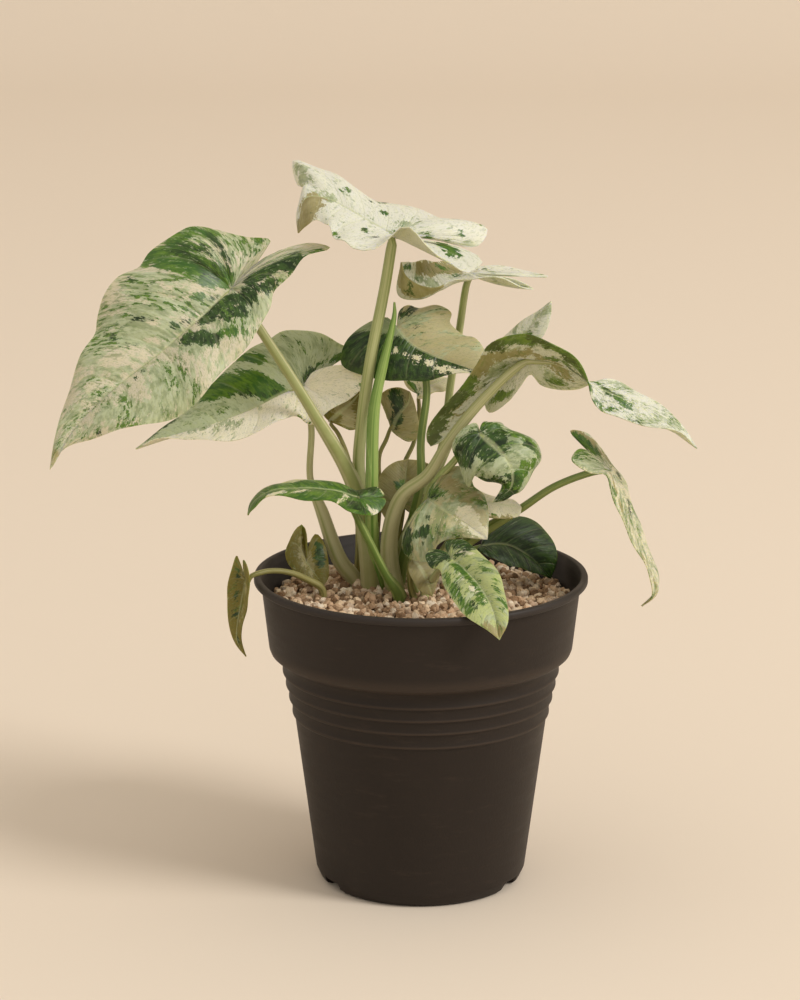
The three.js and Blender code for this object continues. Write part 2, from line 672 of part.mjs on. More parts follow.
// The grit as one body: the pot's inside a little smaller, under a top of random grain heights
function grit() {
  const random = randomStream(7);
  const side = 2 * RIM_RADIUS;
  const cells = Math.round(side / GRAIN_SIZE);
  const block = new THREE.BoxGeometry(side, side, GRIT_HEIGHT, cells, cells, 1);
  block.translate(0, 0, GRIT_HEIGHT / 2);
  block.deleteAttribute("normal");
  block.deleteAttribute("uv");
  const grains = mergeVertices(block, 1e-4);
  const points = grains.attributes.position;
  const spread = (most) => (2 * random() - 1) * most;
  for (let i = 0; i < points.count; i++) {
    if (points.getZ(i) < GRIT_HEIGHT - 1) continue;
    const x = points.getX(i) + spread(GRAIN_SHIFT);
    const y = points.getY(i) + spread(GRAIN_SHIFT);
    points.setXYZ(i, x, y, GRIT_HEIGHT + spread(GRAIN_RELIEF));
  }
  const wall = innerProfile(CLEARANCE).reverse();
  const inside = turned([[0, FLOOR_HEIGHT + CLEARANCE], ...wall, [0, POT_HEIGHT]], POT_SIDES);
  return toSolid(grains).intersect(toSolid(inside));
}

// The corm: a squat ringed bulb, a turned profile set off the pot's axis
function corm(grow) {
  const height = CORM_TOP - CORM_BOTTOM + grow;
  const outline = CORM_OUTLINE.map(([radiusShare, heightShare]) => [
    radiusShare * CORM_RADIUS + grow,
    CORM_BOTTOM + heightShare * height,
  ]);
  const profile = [[0, CORM_BOTTOM - grow], ...outline, [0, CORM_TOP + grow]];
  const geometry = turned(profile, 20);
  geometry.translate(...CORM_CENTRE, 0);
  return toSolid(geometry);
}

// A tapering round bar along a smooth curve, closed at both ends
function taperedBar(points, radii, steps, grow = 0) {
  const curve = new THREE.CatmullRomCurve3(toPoints(points), false, "centripetal");
  const frames = curve.computeFrenetFrames(steps, false);
  const positions = [];
  for (let step = 0; step <= steps; step++) {
    const centre = curve.getPointAt(step / steps);
    const along = curve.getUtoTmapping(step / steps) * (radii.length - 1);
    const lower = Math.min(Math.floor(along), radii.length - 2);
    const radius = THREE.MathUtils.lerp(radii[lower], radii[lower + 1], along - lower) + grow;
    for (let side = 0; side < STALK_SIDES; side++) {
      const turn = (side / STALK_SIDES) * 2 * Math.PI;
      const point = centre
        .clone()
        .addScaledVector(frames.normals[step], radius * Math.cos(turn))
        .addScaledVector(frames.binormals[step], radius * Math.sin(turn));
      positions.push(...point);
    }
  }
  positions.push(...curve.getPointAt(0), ...curve.getPointAt(1));
  const start = (steps + 1) * STALK_SIDES;
  const triangles = [];
  for (let side = 0; side < STALK_SIDES; side++) {
    const next = (side + 1) % STALK_SIDES;
    for (let step = 0; step < steps; step++) {
      const [a, b] = [step * STALK_SIDES + side, step * STALK_SIDES + next];
      triangles.push(a, b, b + STALK_SIDES, a, b + STALK_SIDES, a + STALK_SIDES);
    }
    triangles.push(start, next, side);
    triangles.push(start + 1, steps * STALK_SIDES + side, steps * STALK_SIDES + next);
  }
  return toSolid(geometryFrom(positions, triangles));
}

// Where the margin draws level with the stalk's end, so that the rest of it is the rear lobe
function shoulderOf(margin, origin, forward) {
  for (let share = 0.02; share < 1; share += 0.01) {
    const reach = margin.getPointAt(share).sub(origin);
    if (reach.normalize().dot(forward) < SHOULDER_COSINE) return share;
  }
  return SLIDE;
}

// One half of a blade as rows of points, from the tip round to the notch at the stalk.
// A row runs from its root on the midrib out to the margin. The roots slide down the midrib to the
// stalk's end, and there the last rows fan out into the rear lobe. Each row is arched off the
// straight line by a share of its own length.
function halfBlade(rib, marginPoints, arch, side, stations, splits) {
  const tip = rib.getPoint(1);
  const origin = rib.getPoint(0);
  const margin = new THREE.CatmullRomCurve3(
    [tip, ...toPoints(marginPoints), origin],
    false,
    "centripetal",
  );
  const shoulder = shoulderOf(margin, origin, rib.getTangent(0));
  const rows = [];
  for (let station = 0; station <= stations; station++) {
    const s = station / stations;
    const share =
      s < SLIDE
        ? (s / SLIDE) * shoulder
        : shoulder + ((s - SLIDE) / (1 - SLIDE)) * (SINUS_END - shoulder);
    const ribShare = Math.max(0, 1 - s / SLIDE);
    const root = rib.getPointAt(ribShare);
    const reach = margin.getPointAt(share).sub(root);
    const up = rib.getTangentAt(ribShare).cross(reach).multiplyScalar(side);
    rows.push(
      splits.map((t) =>
        root
          .clone()
          .addScaledVector(reach, t)
          .addScaledVector(up, arch * 4 * t * (1 - t)),
      ),
    );
  }
  return rows;
}

// A blade as one thin solid: both halves share the midrib, and every triangle of the surface is
// thickened along the surface's own direction, with the midrib standing out below
function blade(leaf) {
  const rib = new THREE.CatmullRomCurve3(toPoints(leaf.rib), false, "centripetal");
  const stations = Math.round(THREE.MathUtils.clamp(5 + rib.getLength() / STATION_STEP, 8, 18));
  const splits = rib.getLength() < SMALL_LEAF ? SMALL_ROW_SPLITS : ROW_SPLITS;
  const halves = [
    halfBlade(rib, leaf.left, leaf.arch[0], 1, stations, splits),
    halfBlade(rib, leaf.right, leaf.arch[1], -1, stations, splits),
  ];
  const points = [];
  const ridges = [];
  const known = new Map();
  const indexOf = (point, ridge) => {
    const key = point.toArray().map((v) => v.toFixed(4)).join();
    if (!known.has(key)) {
      known.set(key, points.length);
      points.push(point);
      ridges.push(ridge);
    }
    return known.get(key);
  };
  const faces = [];
  const addFace = (a, b, c) => {
    if (a !== b && b !== c && c !== a) faces.push([a, b, c]);
  };
  halves.forEach((rows, half) => {
    const grid = rows.map((row, s) => {
      const ridge = s < SLIDE * stations ? MIDRIB_DEPTH : 0;
      return row.map((point, k) => indexOf(point, k === 0 ? ridge : 0));
    });
    for (let s = 0; s < stations; s++) {
      for (let k = 0; k < splits.length - 1; k++) {
        const [a, b, c, d] = [grid[s][k], grid[s][k + 1], grid[s + 1][k + 1], grid[s + 1][k]];
        if (half === 0) {
          addFace(a, b, c);
          addFace(a, c, d);
        } else {
          addFace(a, c, b);
          addFace(a, d, c);
        }
      }
    }
  });
  return thickened(points, ridges, faces);
}

// A face of triangles as a thin closed solid. Each triangle becomes a wedge between its corners
// moved up and down along the surface's own direction there, and the wedges join into one body.
function thickened(points, ridges, faces) {
  const normals = points.map(() => new THREE.Vector3());
  for (const [a, b, c] of faces) {
    const face = points[b].clone().sub(points[a]).cross(points[c].clone().sub(points[a]));
    for (const corner of [a, b, c]) normals[corner].add(face);
  }
  normals.forEach((normal) => normal.normalize());
  const moved = (corner, distance) =>
    points[corner].clone().addScaledVector(normals[corner], distance).toArray();
  const wedges = faces.map((face) =>
    wasm.Manifold.hull([
      ...face.map((corner) => moved(corner, BLADE_THICKNESS / 2)),
      ...face.map((corner) => moved(corner, -BLADE_THICKNESS / 2 - ridges[corner])),
    ]),
  );
  return wasm.Manifold.union(wedges);
}

// The stalk of a leaf, ending under the midrib just past the notch
function stalk(leaf, grow = 0) {
  const rib = new THREE.CatmullRomCurve3(toPoints(leaf.rib), false, "centripetal");
  const origin = rib.getPoint(0);
  const forward = rib.getTangent(0);
  const lastPoint = toPoints(leaf.stalk.slice(-1))[0];
  const away = lastPoint.sub(origin);
  away.addScaledVector(forward, -away.dot(forward)).normalize();
  const endRadius = leaf.stalkRadii[leaf.stalkRadii.length - 1];
  const under = origin.clone().addScaledVector(away, 0.8 * endRadius);
  const ribRun = rib.getPointAt(STALK_RUN).addScaledVector(away, STALK_POINT);
  const points = [...leaf.stalk, under.toArray(), ribRun.toArray()];
  const radii = [...leaf.stalkRadii, 0.85 * endRadius, STALK_POINT];
  const curve = new THREE.CatmullRomCurve3(toPoints(points));
  const steps = Math.round(THREE.MathUtils.clamp(curve.getLength() / STALK_STEP, 6, 11));
  return taperedBar(points, radii, steps, grow);
}

const group = new THREE.Group();
function addPiece(name, solid, look) {
  const mesh = new THREE.Mesh(toGeometry(solid), look);
  mesh.name = name;
  group.add(mesh);
}

// The leaves stand round each other, so each one is cut clear of the stalks that stand before it
const standing = [taperedBar(SPEAR.points, SPEAR.radii, SPEAR_STEPS, CLEARANCE)];
const leafSolids = LEAVES.map((leaf) => {
  let solid = blade(leaf).add(stalk(leaf));
  for (const neighbour of standing) solid = solid.subtract(neighbour);
  standing.push(stalk(leaf, CLEARANCE));
  return largestBody(solid.simplify(SMALLEST_EDGE));
});
let gritBody = grit().subtract(corm(CLEARANCE));
let cormBody = corm(0);
for (const neighbour of standing) {
  gritBody = gritBody.subtract(neighbour);
  cormBody = cormBody.subtract(neighbour);
}

addPiece("pot", pot(), potPlastic);
addPiece("grit", largestBody(gritBody.simplify(SMALLEST_EDGE)), gritStone);
addPiece("corm", largestBody(cormBody.simplify(SMALLEST_EDGE)), cormSkin);
addPiece("new_leaf_rolled", taperedBar(SPEAR.points, SPEAR.radii, SPEAR_STEPS), newLeafSkin);
LEAVES.forEach((leaf, i) => addPiece(leaf.name, leafSolids[i], leafSkins[leaf.look]));

export default group;
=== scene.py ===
"""Looks for a potted splash giant taro: a variegated aroid in a plastic nursery pot of pumice grit.

Lengths are written in millimetres and put into the meshes in metres. +Z is up, the viewer of the
photograph stands at -Y, and the pot stands on the plane Z = 0. The leaves are given as they were
picked in the photograph, and the script itself works out their places.
"""
import math

import bpy
import numpy as np
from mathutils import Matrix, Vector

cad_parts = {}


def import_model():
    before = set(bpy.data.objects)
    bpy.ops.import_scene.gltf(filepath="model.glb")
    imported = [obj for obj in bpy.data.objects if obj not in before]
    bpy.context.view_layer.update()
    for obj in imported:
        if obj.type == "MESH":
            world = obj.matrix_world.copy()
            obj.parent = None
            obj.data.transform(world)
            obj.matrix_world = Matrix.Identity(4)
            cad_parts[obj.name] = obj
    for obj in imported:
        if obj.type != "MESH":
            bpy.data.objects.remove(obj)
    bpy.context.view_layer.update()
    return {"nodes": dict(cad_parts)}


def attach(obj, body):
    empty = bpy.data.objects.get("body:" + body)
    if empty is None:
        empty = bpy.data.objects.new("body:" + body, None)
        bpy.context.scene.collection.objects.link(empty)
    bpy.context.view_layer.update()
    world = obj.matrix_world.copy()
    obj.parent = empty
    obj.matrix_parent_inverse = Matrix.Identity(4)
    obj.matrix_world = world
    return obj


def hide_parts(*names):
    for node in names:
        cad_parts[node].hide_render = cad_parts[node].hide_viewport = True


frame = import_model()

# The photograph's camera: its frame and focal length in pixels, and what it looks at in millimetres
PHOTO_WIDTH = 800
PHOTO_HEIGHT = 1000
FOCAL_PIXELS = 3359
VIEW_DISTANCE = 1200
VIEW_ELEVATION = 14.35
VIEW_CENTRE = (-7.5, 0.0, 141.0)
SENSOR_WIDTH = 36
MM_PER_PIXEL = 0.357

# The pot
POT_HEIGHT = 114
RIM_RADIUS = 60
COLLAR_RADIUS = 54.9
BODY_TOP_RADIUS = 49.6
BODY_FOOT_RADIUS = 38.2
BODY_TAPER = 0.13
FOOT_RADIUS = 36.8
FOOT_HEIGHT = 4.5
WALL = 1.4
LEDGE_HEIGHT = 84.5
RING_HEIGHTS = [62.5, 68, 73, 78]
RING_STEP = 0.47
LIP_HEIGHT = 2.4
LIP_STEP = 2.5
ROUNDING = 0.6
MIDDLE_DISC_RADIUS = 19
CHANNEL_OUTER_RADIUS = 33
CHANNEL_HEIGHT = 4
FLOOR_HEIGHT = 6
NOTCH_COUNT = 3
NOTCH_WIDTH = 10
DRAIN_COUNT = 6
DRAIN_RADIUS = 3
DRAIN_CIRCLE = 26
POT_SIDES = 180
DRAIN_SIDES = 24
BED_SIDES = 90

# The grit: a packed bed with loose grains over it
BED_HEIGHT = 102
BED_TONE = 0.12
GRAIN_SPACING = 2.6
TRIANGLE_HEIGHT = 0.866
GRAIN_STEPS = 26
GRAIN_SHIFT = 0.9
GRAIN_LIFT = (-0.6, 0.9)
GRAIN_STRETCH = (0.7, 1.15)
GRAIN_DENTS = (0.7, 1.14)
GRAIN_RINGS = 4
GRAIN_SIDES = 7
GRAIN_SEED = 11
MOUND_HEIGHT = 1.2
MOUND_PLACE = (-6, 10)
MOUND_REACH = 30
GRAIN_LAYERS = [(102.0, 0.0), (103.9, 0.5)]
GRAIN_SIZES = (0.85, 2.0)

# Blades and stalks. A blade's rows slide down the midrib while they run over the share SLIDE.
BLADE_THICKNESS = 0.6
BLADE_THINNING = 0.25
MIDRIB_DEPTH = 0.5
SLIDE = 0.6
SHOULDER_COSINE = 0.3
SINUS_END = 0.96
VEIN_BEND = 0.05
VEIN_FURROW = 0.4
SHORT_ROW = 12
WAVES_PER_VEIN = 0.63
CURVE_STEPS = 24
STALK_SIDES = 20
STALK_RING_GAP = 2.5
STALK_RUN = 0.14
STALK_POINT = 0.5
SPEAR_RINGS = 130
SPEAR_SIDES = 36

# Rows and columns of half a blade, from the smallest length between stalk and tip that gets them
BLADE_GRIDS = [(40, 104, 36), (20, 60, 22), (0, 40, 14)]
STROKE_GRID = (80, 40)
NARROWEST_STROKE = 0.5
OUTSIDE_STROKES = -12.0

# Corners that agree to this many digits of a millimetre are one, and edges sharper than this show
SAME_PLACE_DIGITS = 4
SHARP_ANGLE = 48

# The backdrop, in metres: where its floor starts and bends, the bend's radius, its top and half width
SWEEP_FRONT = -4
SWEEP_BEND = 2.2
SWEEP_RADIUS = 0.9
SWEEP_TOP = 5.0
SWEEP_SIDE = 6.0

# Colours as seen, red, green and blue from 0 to 255
COLOURS = {
    "blush": (196, 188, 164),
    # A white brightened past the blade's own colour: painted light on the near half of leaf_long_left
    "ivory_painted_light": (228, 222, 202),
    "cream": (208, 202, 174),
    "white": (210, 210, 196),
    "beige": (178, 170, 130),
    "straw": (198, 194, 150),
    "celery": (172, 180, 120),
    "olive": (112, 102, 32),
    "mint": (132, 144, 104),
    "palemint": (172, 180, 146),
    "moss": (150, 154, 80),
    "leafgreen": (56, 72, 26),
    "fresh": (94, 126, 38),
    "fresh_dark": (50, 88, 26),
    "deep": (54, 82, 28),
    "deep_dark": (22, 42, 10),
    "vein": (192, 196, 150),
}
BACKDROP = (225, 211, 193)
BACKDROP_FLECKS = (200, 180, 160)

# Each stalk's pale ground, its green stripes and the tint of its foot
STALK_COLOURS = {
    "celery": ((186, 188, 134), (136, 150, 80), (150, 150, 92)),
    "cream": ((188, 184, 138), (146, 152, 88), (150, 140, 94)),
    "green": ((150, 162, 92), (98, 122, 50), (120, 128, 68)),
    "olive": ((158, 150, 92), (112, 112, 54), (118, 104, 62)),
}
SPEAR_COLOURS = ((156, 178, 98), (86, 126, 38), (110, 146, 58))

# The paints, each with how many millimetres its edge is frayed
PAINTS = {"mint": 9.0, "tan": 5.0, "fresh": 4.0, "deep": 4.0, "cream": 4.0}

# The newest leaf, still rolled into a spear. Its foot is in millimetres, and the points above it are
# picks: x and y in the photograph's pixels, and a guessed depth in millimetres behind the pot's axis.
SPEAR = dict(
    foot=(-14.5, 13.5, 97),
    points=[
        (379, 588, 13), (373, 540, 10), (372, 481, 7), (375, 405, 7), (383, 365, 7), (390, 335, 7),
        (395, 315, 7), (394, 302, 7),
    ],
    radii=[2.6, 2.5, 2.4, 2.4, 2.1, 1.8, 1.3, 0.8, 0.35],
)

# Enlarged views of the photograph in which strokes were picked: corner in pixels and enlargement
CLOSE_UPS = {
    "whole": (0, 0, 1),
    "left": (40, 210, 4.61),
    "top": (290, 150, 7.467),
    "right": (390, 290, 4.9),
    "low right": (420, 400, 6.03),
    "middle": (330, 440, 7.127),
}

# The leaves, by picks as above. rib runs from the stalk's end to the tip. left and right are the
# margins, seen on the upper face with the tip away, from the tip round the rear lobe to the notch.
# Strokes are sorted by close-up, paint and half, and each is its half width in the photograph's
# pixels and its line in the close-up's pixels.
PICKED_LEAVES = [
    dict(
        name="leaf_big_left", look="marbled", stalk_look="cream",
        ground=("blush", "blush"), mottle=0.9, specks=0.85, spots=0.6,
        veins=8, swell=1.4, wave=1.4, arch=(0.1, 0.15),
        foot=(-19, 11, 97), stalk=[
            (370, 588, 12), (355, 490, 13), (310, 408, 9), (260, 331, 8), (241, 302, 6),
        ],
        stalk_radii=[4.2, 4.0, 3.2, 2.0, 1.7, 1.5],
        rib=[
            (231, 289, 2), (201, 318, -8), (160, 353, -17), (109, 393, -27), (74, 431, -34),
            (50, 469, -40),
        ],
        left=[
            (64, 449, -37), (97, 436, -37), (143, 424, -36), (178, 414, -33), (201, 398, -30),
            (226, 366, -23), (247, 345, -17), (262, 325, -9), (270, 306, -5), (273, 288, -2),
            (290, 273, 0), (304, 257, 2), (331, 249, 5), (311, 242, 8), (285, 246, 7), (255, 266, 4),
        ],
        right=[
            (54, 446, -36), (61, 414, -30), (79, 359, -18), (95, 334, -12), (97, 316, -8), (103, 296, -4),
            (117, 280, 0), (139, 267, 3), (150, 250, 6), (173, 236, 9), (191, 228, 11), (216, 229, 12),
            (247, 237, 12), (270, 240, 12), (262, 250, 9), (245, 268, 5),
        ],
        strokes={
            ("left", "fresh", "right"): [
                [9, (600, 150), (700, 110), (800, 105)],
                [12, (500, 205), (600, 190), (720, 250), (840, 300)],
                [8, (560, 260), (700, 300), (790, 320)], [2.5, (1000, 140), (1050, 133)],
                [3.5, (380, 485), (540, 500)], [2, (680, 402), (740, 400)],
            ],
            ("left", "deep", "right"): [
                [6, (660, 160), (760, 190), (850, 280)], [5, (715, 240), (760, 280), (800, 305)],
                [4, (840, 200), (870, 290)], [4, (580, 160), (700, 220)], [4, (780, 100), (825, 165)],
                [3.5, (370, 310), (430, 320)], [2.2, (430, 500), (520, 510)],
                [2.5, (650, 500), (700, 503)], [2.2, (605, 540), (635, 538)], [2, (800, 400), (830, 396)],
                [2, (400, 623), (440, 623)], [3, (300, 570), (340, 590)],
            ],
            ("left", "mint", "left"): [
                [11, (700, 640), (900, 520), (1020, 420)], [7, (1010, 420), (1050, 400)],
                [14, (560, 750), (560, 880)], [11, (640, 760), (640, 880)],
                [10, (300, 930), (480, 930), (620, 880)],
            ],
            ("left", "mint", "right"): [
                [9, (400, 380), (520, 370), (640, 380)], [11, (700, 120), (820, 110), (930, 150)],
                [5, (860, 200), (850, 260)], [7, (450, 320), (580, 320)],
                [9, (300, 520), (420, 480), (560, 450), (760, 430)],
                [11, (240, 600), (420, 580), (600, 560)], [5, (170, 920), (110, 1000), (80, 1060)],
            ],
            ("left", "deep", "left"): [
                [10, (760, 500), (880, 420), (950, 390)], [8, (850, 490), (920, 470)],
                [8, (690, 590), (790, 600)], [8, (970, 330), (1060, 260), (1180, 220)],
                [7, (1000, 360), (1050, 330)], [2, (440, 780), (490, 730)], [2, (255, 1000), (265, 1030)],
            ],
            ("left", "fresh", "left"): [
                [6, (840, 560), (890, 560)], [5, (1180, 250), (1300, 190)], [3, (1090, 320), (1130, 310)],
                [3, (370, 985), (430, 985)],
            ],
            ("left", "tan", "both"): [[3, (55, 1180), (65, 1130)]],
        },
    ),
    dict(
        name="leaf_long_left", look="marbled", stalk_look="cream",
        # The near half's ground is a brightened white: painted light on the side the light falls on
        ground=("ivory_painted_light", "palemint"), mottle=0.4, specks=0.4, spots=0.1,
        veins=7, swell=0.5, wave=0.8, arch=(-0.05, 0.1),
        foot=(-24, 19, 97), stalk=[
            (356, 583, 19), (340, 560, 19), (322, 512, 20), (310, 479, 20), (311, 430, 21),
            (307, 400, 22),
        ],
        stalk_radii=[3.4, 3.2, 3.0, 2.4, 1.25, 1.2, 1.1],
        rib=[
            (303, 385, 22), (283, 394, 20), (250, 410, 17), (210, 425, 13), (170, 437, 9), (135, 449, 5),
        ],
        left=[
            (161, 437, 3), (194, 440, 2), (228, 440, 3), (260, 431, 6), (283, 419, 9), (297, 415, 12),
            (311, 424, 12), (329, 412, 13), (350, 398, 14), (361, 386, 15), (361, 374, 17),
            (350, 366, 20), (329, 366, 22), (313, 372, 22),
        ],
        right=[
            (160, 430, 12), (190, 407, 18), (213, 383, 23), (228, 366, 27), (250, 350, 30),
            (268, 341, 32), (283, 331, 33), (302, 330, 34), (322, 334, 34), (340, 344, 33),
            (353, 351, 31), (340, 358, 29), (318, 368, 26),
        ],
        strokes={
            ("left", "fresh", "right"): [
                [14, (800, 830), (880, 790), (980, 800), (1080, 840)], [5, (930, 670), (1010, 680)],
                [3, (1290, 710), (1440, 655)],
            ],
            ("left", "deep", "right"): [
                [3.5, (900, 850), (1000, 850), (1090, 850)], [3.5, (480, 1030), (560, 985), (610, 970)],
                [2.4, (1230, 780), (1260, 740)],
            ],
            ("left", "mint", "right"): [
                [8, (640, 950), (760, 910), (880, 900)], [9, (930, 640), (1040, 660)],
                [16, (1100, 640), (1200, 680), (1180, 740)], [14, (1300, 640), (1400, 650)],
            ],
            ("left", "fresh", "left"): [[2, (1460, 815), (1490, 800)], [2.5, (1190, 970), (1230, 990)]],
            ("left", "mint", "left"): [[4, (700, 1000), (900, 980)]],
        },
    ),
    dict(
        name="leaf_top_white", look="pale", stalk_look="celery",
        ground=("white", "white"), mottle=0.35, specks=0.3, spots=0.4,
        veins=9, swell=0.5, wave=0.8, arch=(0.05, 0.15),
        foot=(-13, 20, 97), stalk=[
            (378, 580, 20), (364, 500, 19), (359, 469, 17), (363, 418, 13), (370, 361, 10), (384, 290, 9),
            (392, 246, 8),
        ],
        stalk_radii=[3.0, 2.9, 2.6, 2.3, 2.2, 2.1, 2.0, 1.9],
        rib=[
            (394, 236, 8), (372, 223, 11), (347, 209, 15), (322, 198, 18), (305, 199, 18), (298, 233, 14),
        ],
        left=[
            (308, 224, 10), (323, 221, 5), (336, 236, -4), (352, 246, -9), (372, 248, -10),
            (387, 240, -9), (399, 230, -10), (410, 229, -12), (422, 241, -13), (437, 254, -11),
            (453, 264, -8), (469, 273, -4), (483, 261, 0), (465, 250, 4), (430, 241, 6),
        ],
        right=[
            (297, 213, 20), (306, 187, 28), (297, 182, 34), (293, 161, 38), (312, 165, 38),
            (334, 173, 37), (352, 187, 35), (369, 199, 33), (388, 202, 32), (423, 212, 28),
            (450, 221, 26), (474, 223, 24), (487, 231, 20), (478, 246, 14), (440, 241, 10),
        ],
        strokes={
            ("top", "fresh", "both"): [
                [5, (1130, 700), (1180, 750), (1240, 780)], [2.2, (1030, 640), (1130, 700)],
                [3.4, (760, 605), (780, 600)], [3.5, (620, 385), (700, 390)],
                [2.6, (400, 300), (430, 300)], [1.6, (330, 225), (370, 228)],
                [2.5, (545, 600), (590, 615)], [1.6, (700, 470), (790, 465)],
                [1.5, (580, 470), (630, 510)], [2.2, (1390, 560), (1450, 580)],
                [1.8, (1180, 692), (1200, 695)], [1.6, (1290, 635), (1310, 645)],
                [2, (335, 610), (350, 630)],
            ],
            ("top", "deep", "both"): [
                [2, (610, 380), (700, 385)], [2, (545, 600), (560, 600)], [1.5, (610, 655), (640, 645)],
                [1.6, (165, 490), (175, 525)],
            ],
            ("top", "mint", "both"): [
                [6, (220, 330), (290, 370)], [8, (60, 130), (120, 190)], [4, (870, 555), (930, 555)],
            ],
            ("top", "tan", "both"): [[12, (150, 380), (130, 480), (80, 600)]],
        },
    ),
    dict(
        name="leaf_top_right", look="marbled", stalk_look="celery",
        ground=("white", "white"), mottle=0.5, specks=0.3, spots=0.5,
        veins=7, swell=0.3, wave=0.6, arch=(-0.1, -0.1),
        foot=(-6, 23, 97), stalk=[
            (394, 583, 23), (420, 500, 23), (441, 449, 26), (451, 382, 30), (459, 332, 31),
            (467, 284, 26),
        ],
        stalk_radii=[2.6, 2.5, 2.0, 1.5, 1.45, 1.4, 1.3],
        rib=[(469, 274, 25), (445, 285, 20), (421, 298, 16), (400, 294, 14), (401, 263, 17)],
        left=[
            (407, 276, 9), (419, 285, 7), (438, 286, 9), (458, 279, 13), (478, 277, 13), (502, 279, 14),
            (520, 286, 15), (534, 288, 18), (520, 281, 20), (495, 276, 22),
        ],
        right=[
            (411, 262, 24), (430, 261, 29), (452, 264, 33), (475, 266, 35), (495, 265, 37),
            (525, 270, 36), (550, 277, 32), (525, 277, 28), (495, 275, 26),
        ],
        strokes={
            ("top", "fresh", "both"): [
                [3, (860, 880), (910, 880)], [3, (1110, 860), (1160, 880)],
                [2.4, (1490, 890), (1520, 910)], [2, (1230, 900), (1240, 930)],
            ],
            ("top", "tan", "both"): [[10, (1000, 870), (1150, 880), (1300, 900)]],
            ("top", "deep", "both"): [[2.2, (890, 1010), (900, 1080)], [1.6, (860, 980), (920, 1030)]],
            ("top", "tan", "left"): [[14, (830, 870), (860, 960), (940, 1060), (1060, 1030)]],
            ("top", "mint", "both"): [[5, (950, 950), (1090, 990)]],
        },
    ),
    dict(
        name="leaf_middle_dark", look="dark", stalk_look="green",
        ground=("beige", "mint"), mottle=0.6, specks=0.55, spots=0.1,
        veins=7, swell=0.5, wave=0.5, arch=(0.1, 0.1),
        foot=(-6, 16, 97), stalk=[
            (400, 582, 16), (413, 520, 15), (421, 481, 15), (421, 441, 17), (427, 385, 20),
            (416, 350, 22), (401, 331, 21),
        ],
        stalk_radii=[2.2, 2.1, 1.8, 1.6, 1.5, 1.4, 1.3, 1.2],
        rib=[(397, 327, 20), (412, 345, 17), (432, 356, 15), (456, 365, 14), (481, 374, 12)],
        left=[
            (486, 356, 16), (475, 338, 19), (462, 335, 21), (450, 323, 24), (452, 312, 27),
            (436, 305, 29), (420, 308, 28), (408, 305, 27), (400, 310, 25),
        ],
        right=[
            (462, 373, 11), (445, 376, 11), (425, 381, 11), (405, 381, 12), (385, 380, 13),
            (365, 376, 15), (342, 364, 17), (344, 345, 19), (357, 330, 21), (375, 320, 23),
            (388, 318, 22),
        ],
        strokes={
            ("whole", "deep", "right"): [[30, (350, 360), (380, 365), (420, 376), (450, 378)]],
            ("whole", "cream", "right"): [[2.4, (396, 350), (415, 357), (440, 368), (470, 374)]],
            ("whole", "fresh", "right"): [[6, (425, 365), (450, 370)]],
            ("whole", "mint", "right"): [[3, (357, 340), (380, 345)]],
            ("whole", "deep", "left"): [[5, (400, 312), (412, 308)]],
            ("right", "deep", "left"): [[1.5, (125, 180), (150, 172)], [1.3, (190, 262), (200, 270)]],
            ("right", "mint", "left"): [[6, (60, 130), (160, 150)]],
        },
    ),
    dict(
        name="leaf_right_arching", look="marbled", stalk_look="cream",
        ground=("white", "white"), mottle=0.6, specks=0.8, spots=0.4,
        veins=9, swell=0.7, wave=0.9, arch=(-0.1, -0.1),
        foot=(-5, 7, 97), stalk=[
            (396, 590, 7), (389, 542, 7), (401, 496, 5), (428, 475, 3), (448, 443, 1), (473, 411, -1),
            (508, 375, -4), (522, 364, -4),
        ],
        stalk_radii=[3.6, 3.5, 3.2, 2.7, 2.3, 2.0, 1.9, 1.6, 1.4],
        rib=[
            (527, 360, -2), (552, 362, -5), (575, 372, -8), (592, 386, -10), (630, 402, -10),
            (665, 424, -10), (698, 449, -9),
        ],
        left=[
            (682, 424, -6), (660, 405, -3), (630, 387, -2), (605, 379, -4), (592, 383, -6),
            (578, 388, -3), (560, 391, 0), (542, 384, 2), (531, 373, 1), (520, 388, 3), (508, 401, 5),
            (490, 411, 6), (484, 396, 6), (496, 376, 5),
        ],
        right=[
            (681, 433, -14), (649, 426, -16), (617, 417, -16), (601, 411, -15), (593, 399, -14),
            (588, 377, -15), (574, 357, -16), (556, 343, -16), (534, 335, -15), (511, 337, -12),
            (488, 345, -7), (477, 364, -1), (460, 388, 5), (440, 410, 7), (427, 432, 8), (429, 446, 7),
            (452, 434, 6), (478, 405, 6), (506, 377, 4),
        ],
        strokes={
            ("right", "tan", "both"): [
                [9, (230, 680), (330, 540), (420, 420), (480, 340)],
                [7, (520, 330), (700, 320), (860, 420)],
            ],
            ("right", "fresh", "both"): [
                [5, (560, 250), (700, 230), (800, 260), (960, 400)],
                [9, (480, 280), (600, 250), (720, 240), (800, 270)],
                [9, (800, 270), (900, 340), (970, 410), (990, 470)], [4, (760, 340), (860, 370)],
                [4, (790, 450), (830, 470)], [8, (330, 490), (400, 440)], [6, (320, 560), (380, 500)],
                [5, (210, 690), (260, 640), (320, 560)], [4, (520, 530), (590, 500)],
                [4, (1000, 450), (1090, 500), (1180, 560)], [3, (1000, 550), (1040, 600)],
                [3.4, (1070, 590), (1100, 590)],
            ],
            ("right", "deep", "both"): [
                [8, (480, 290), (540, 270)], [5, (690, 240), (760, 260)], [4, (850, 330), (910, 370)],
                [4, (880, 390), (930, 420)], [9, (200, 710), (250, 630), (330, 520)],
                [2, (440, 400), (485, 480)], [2.5, (1040, 470), (1100, 510)],
                [2, (1200, 635), (1250, 655)],
            ],
            ("right", "mint", "both"): [
                [7, (780, 430), (830, 470)], [6, (520, 320), (620, 300)], [8, (480, 420), (560, 380)],
                [5, (1200, 630), (1300, 640)], [5, (1340, 630), (1410, 660)],
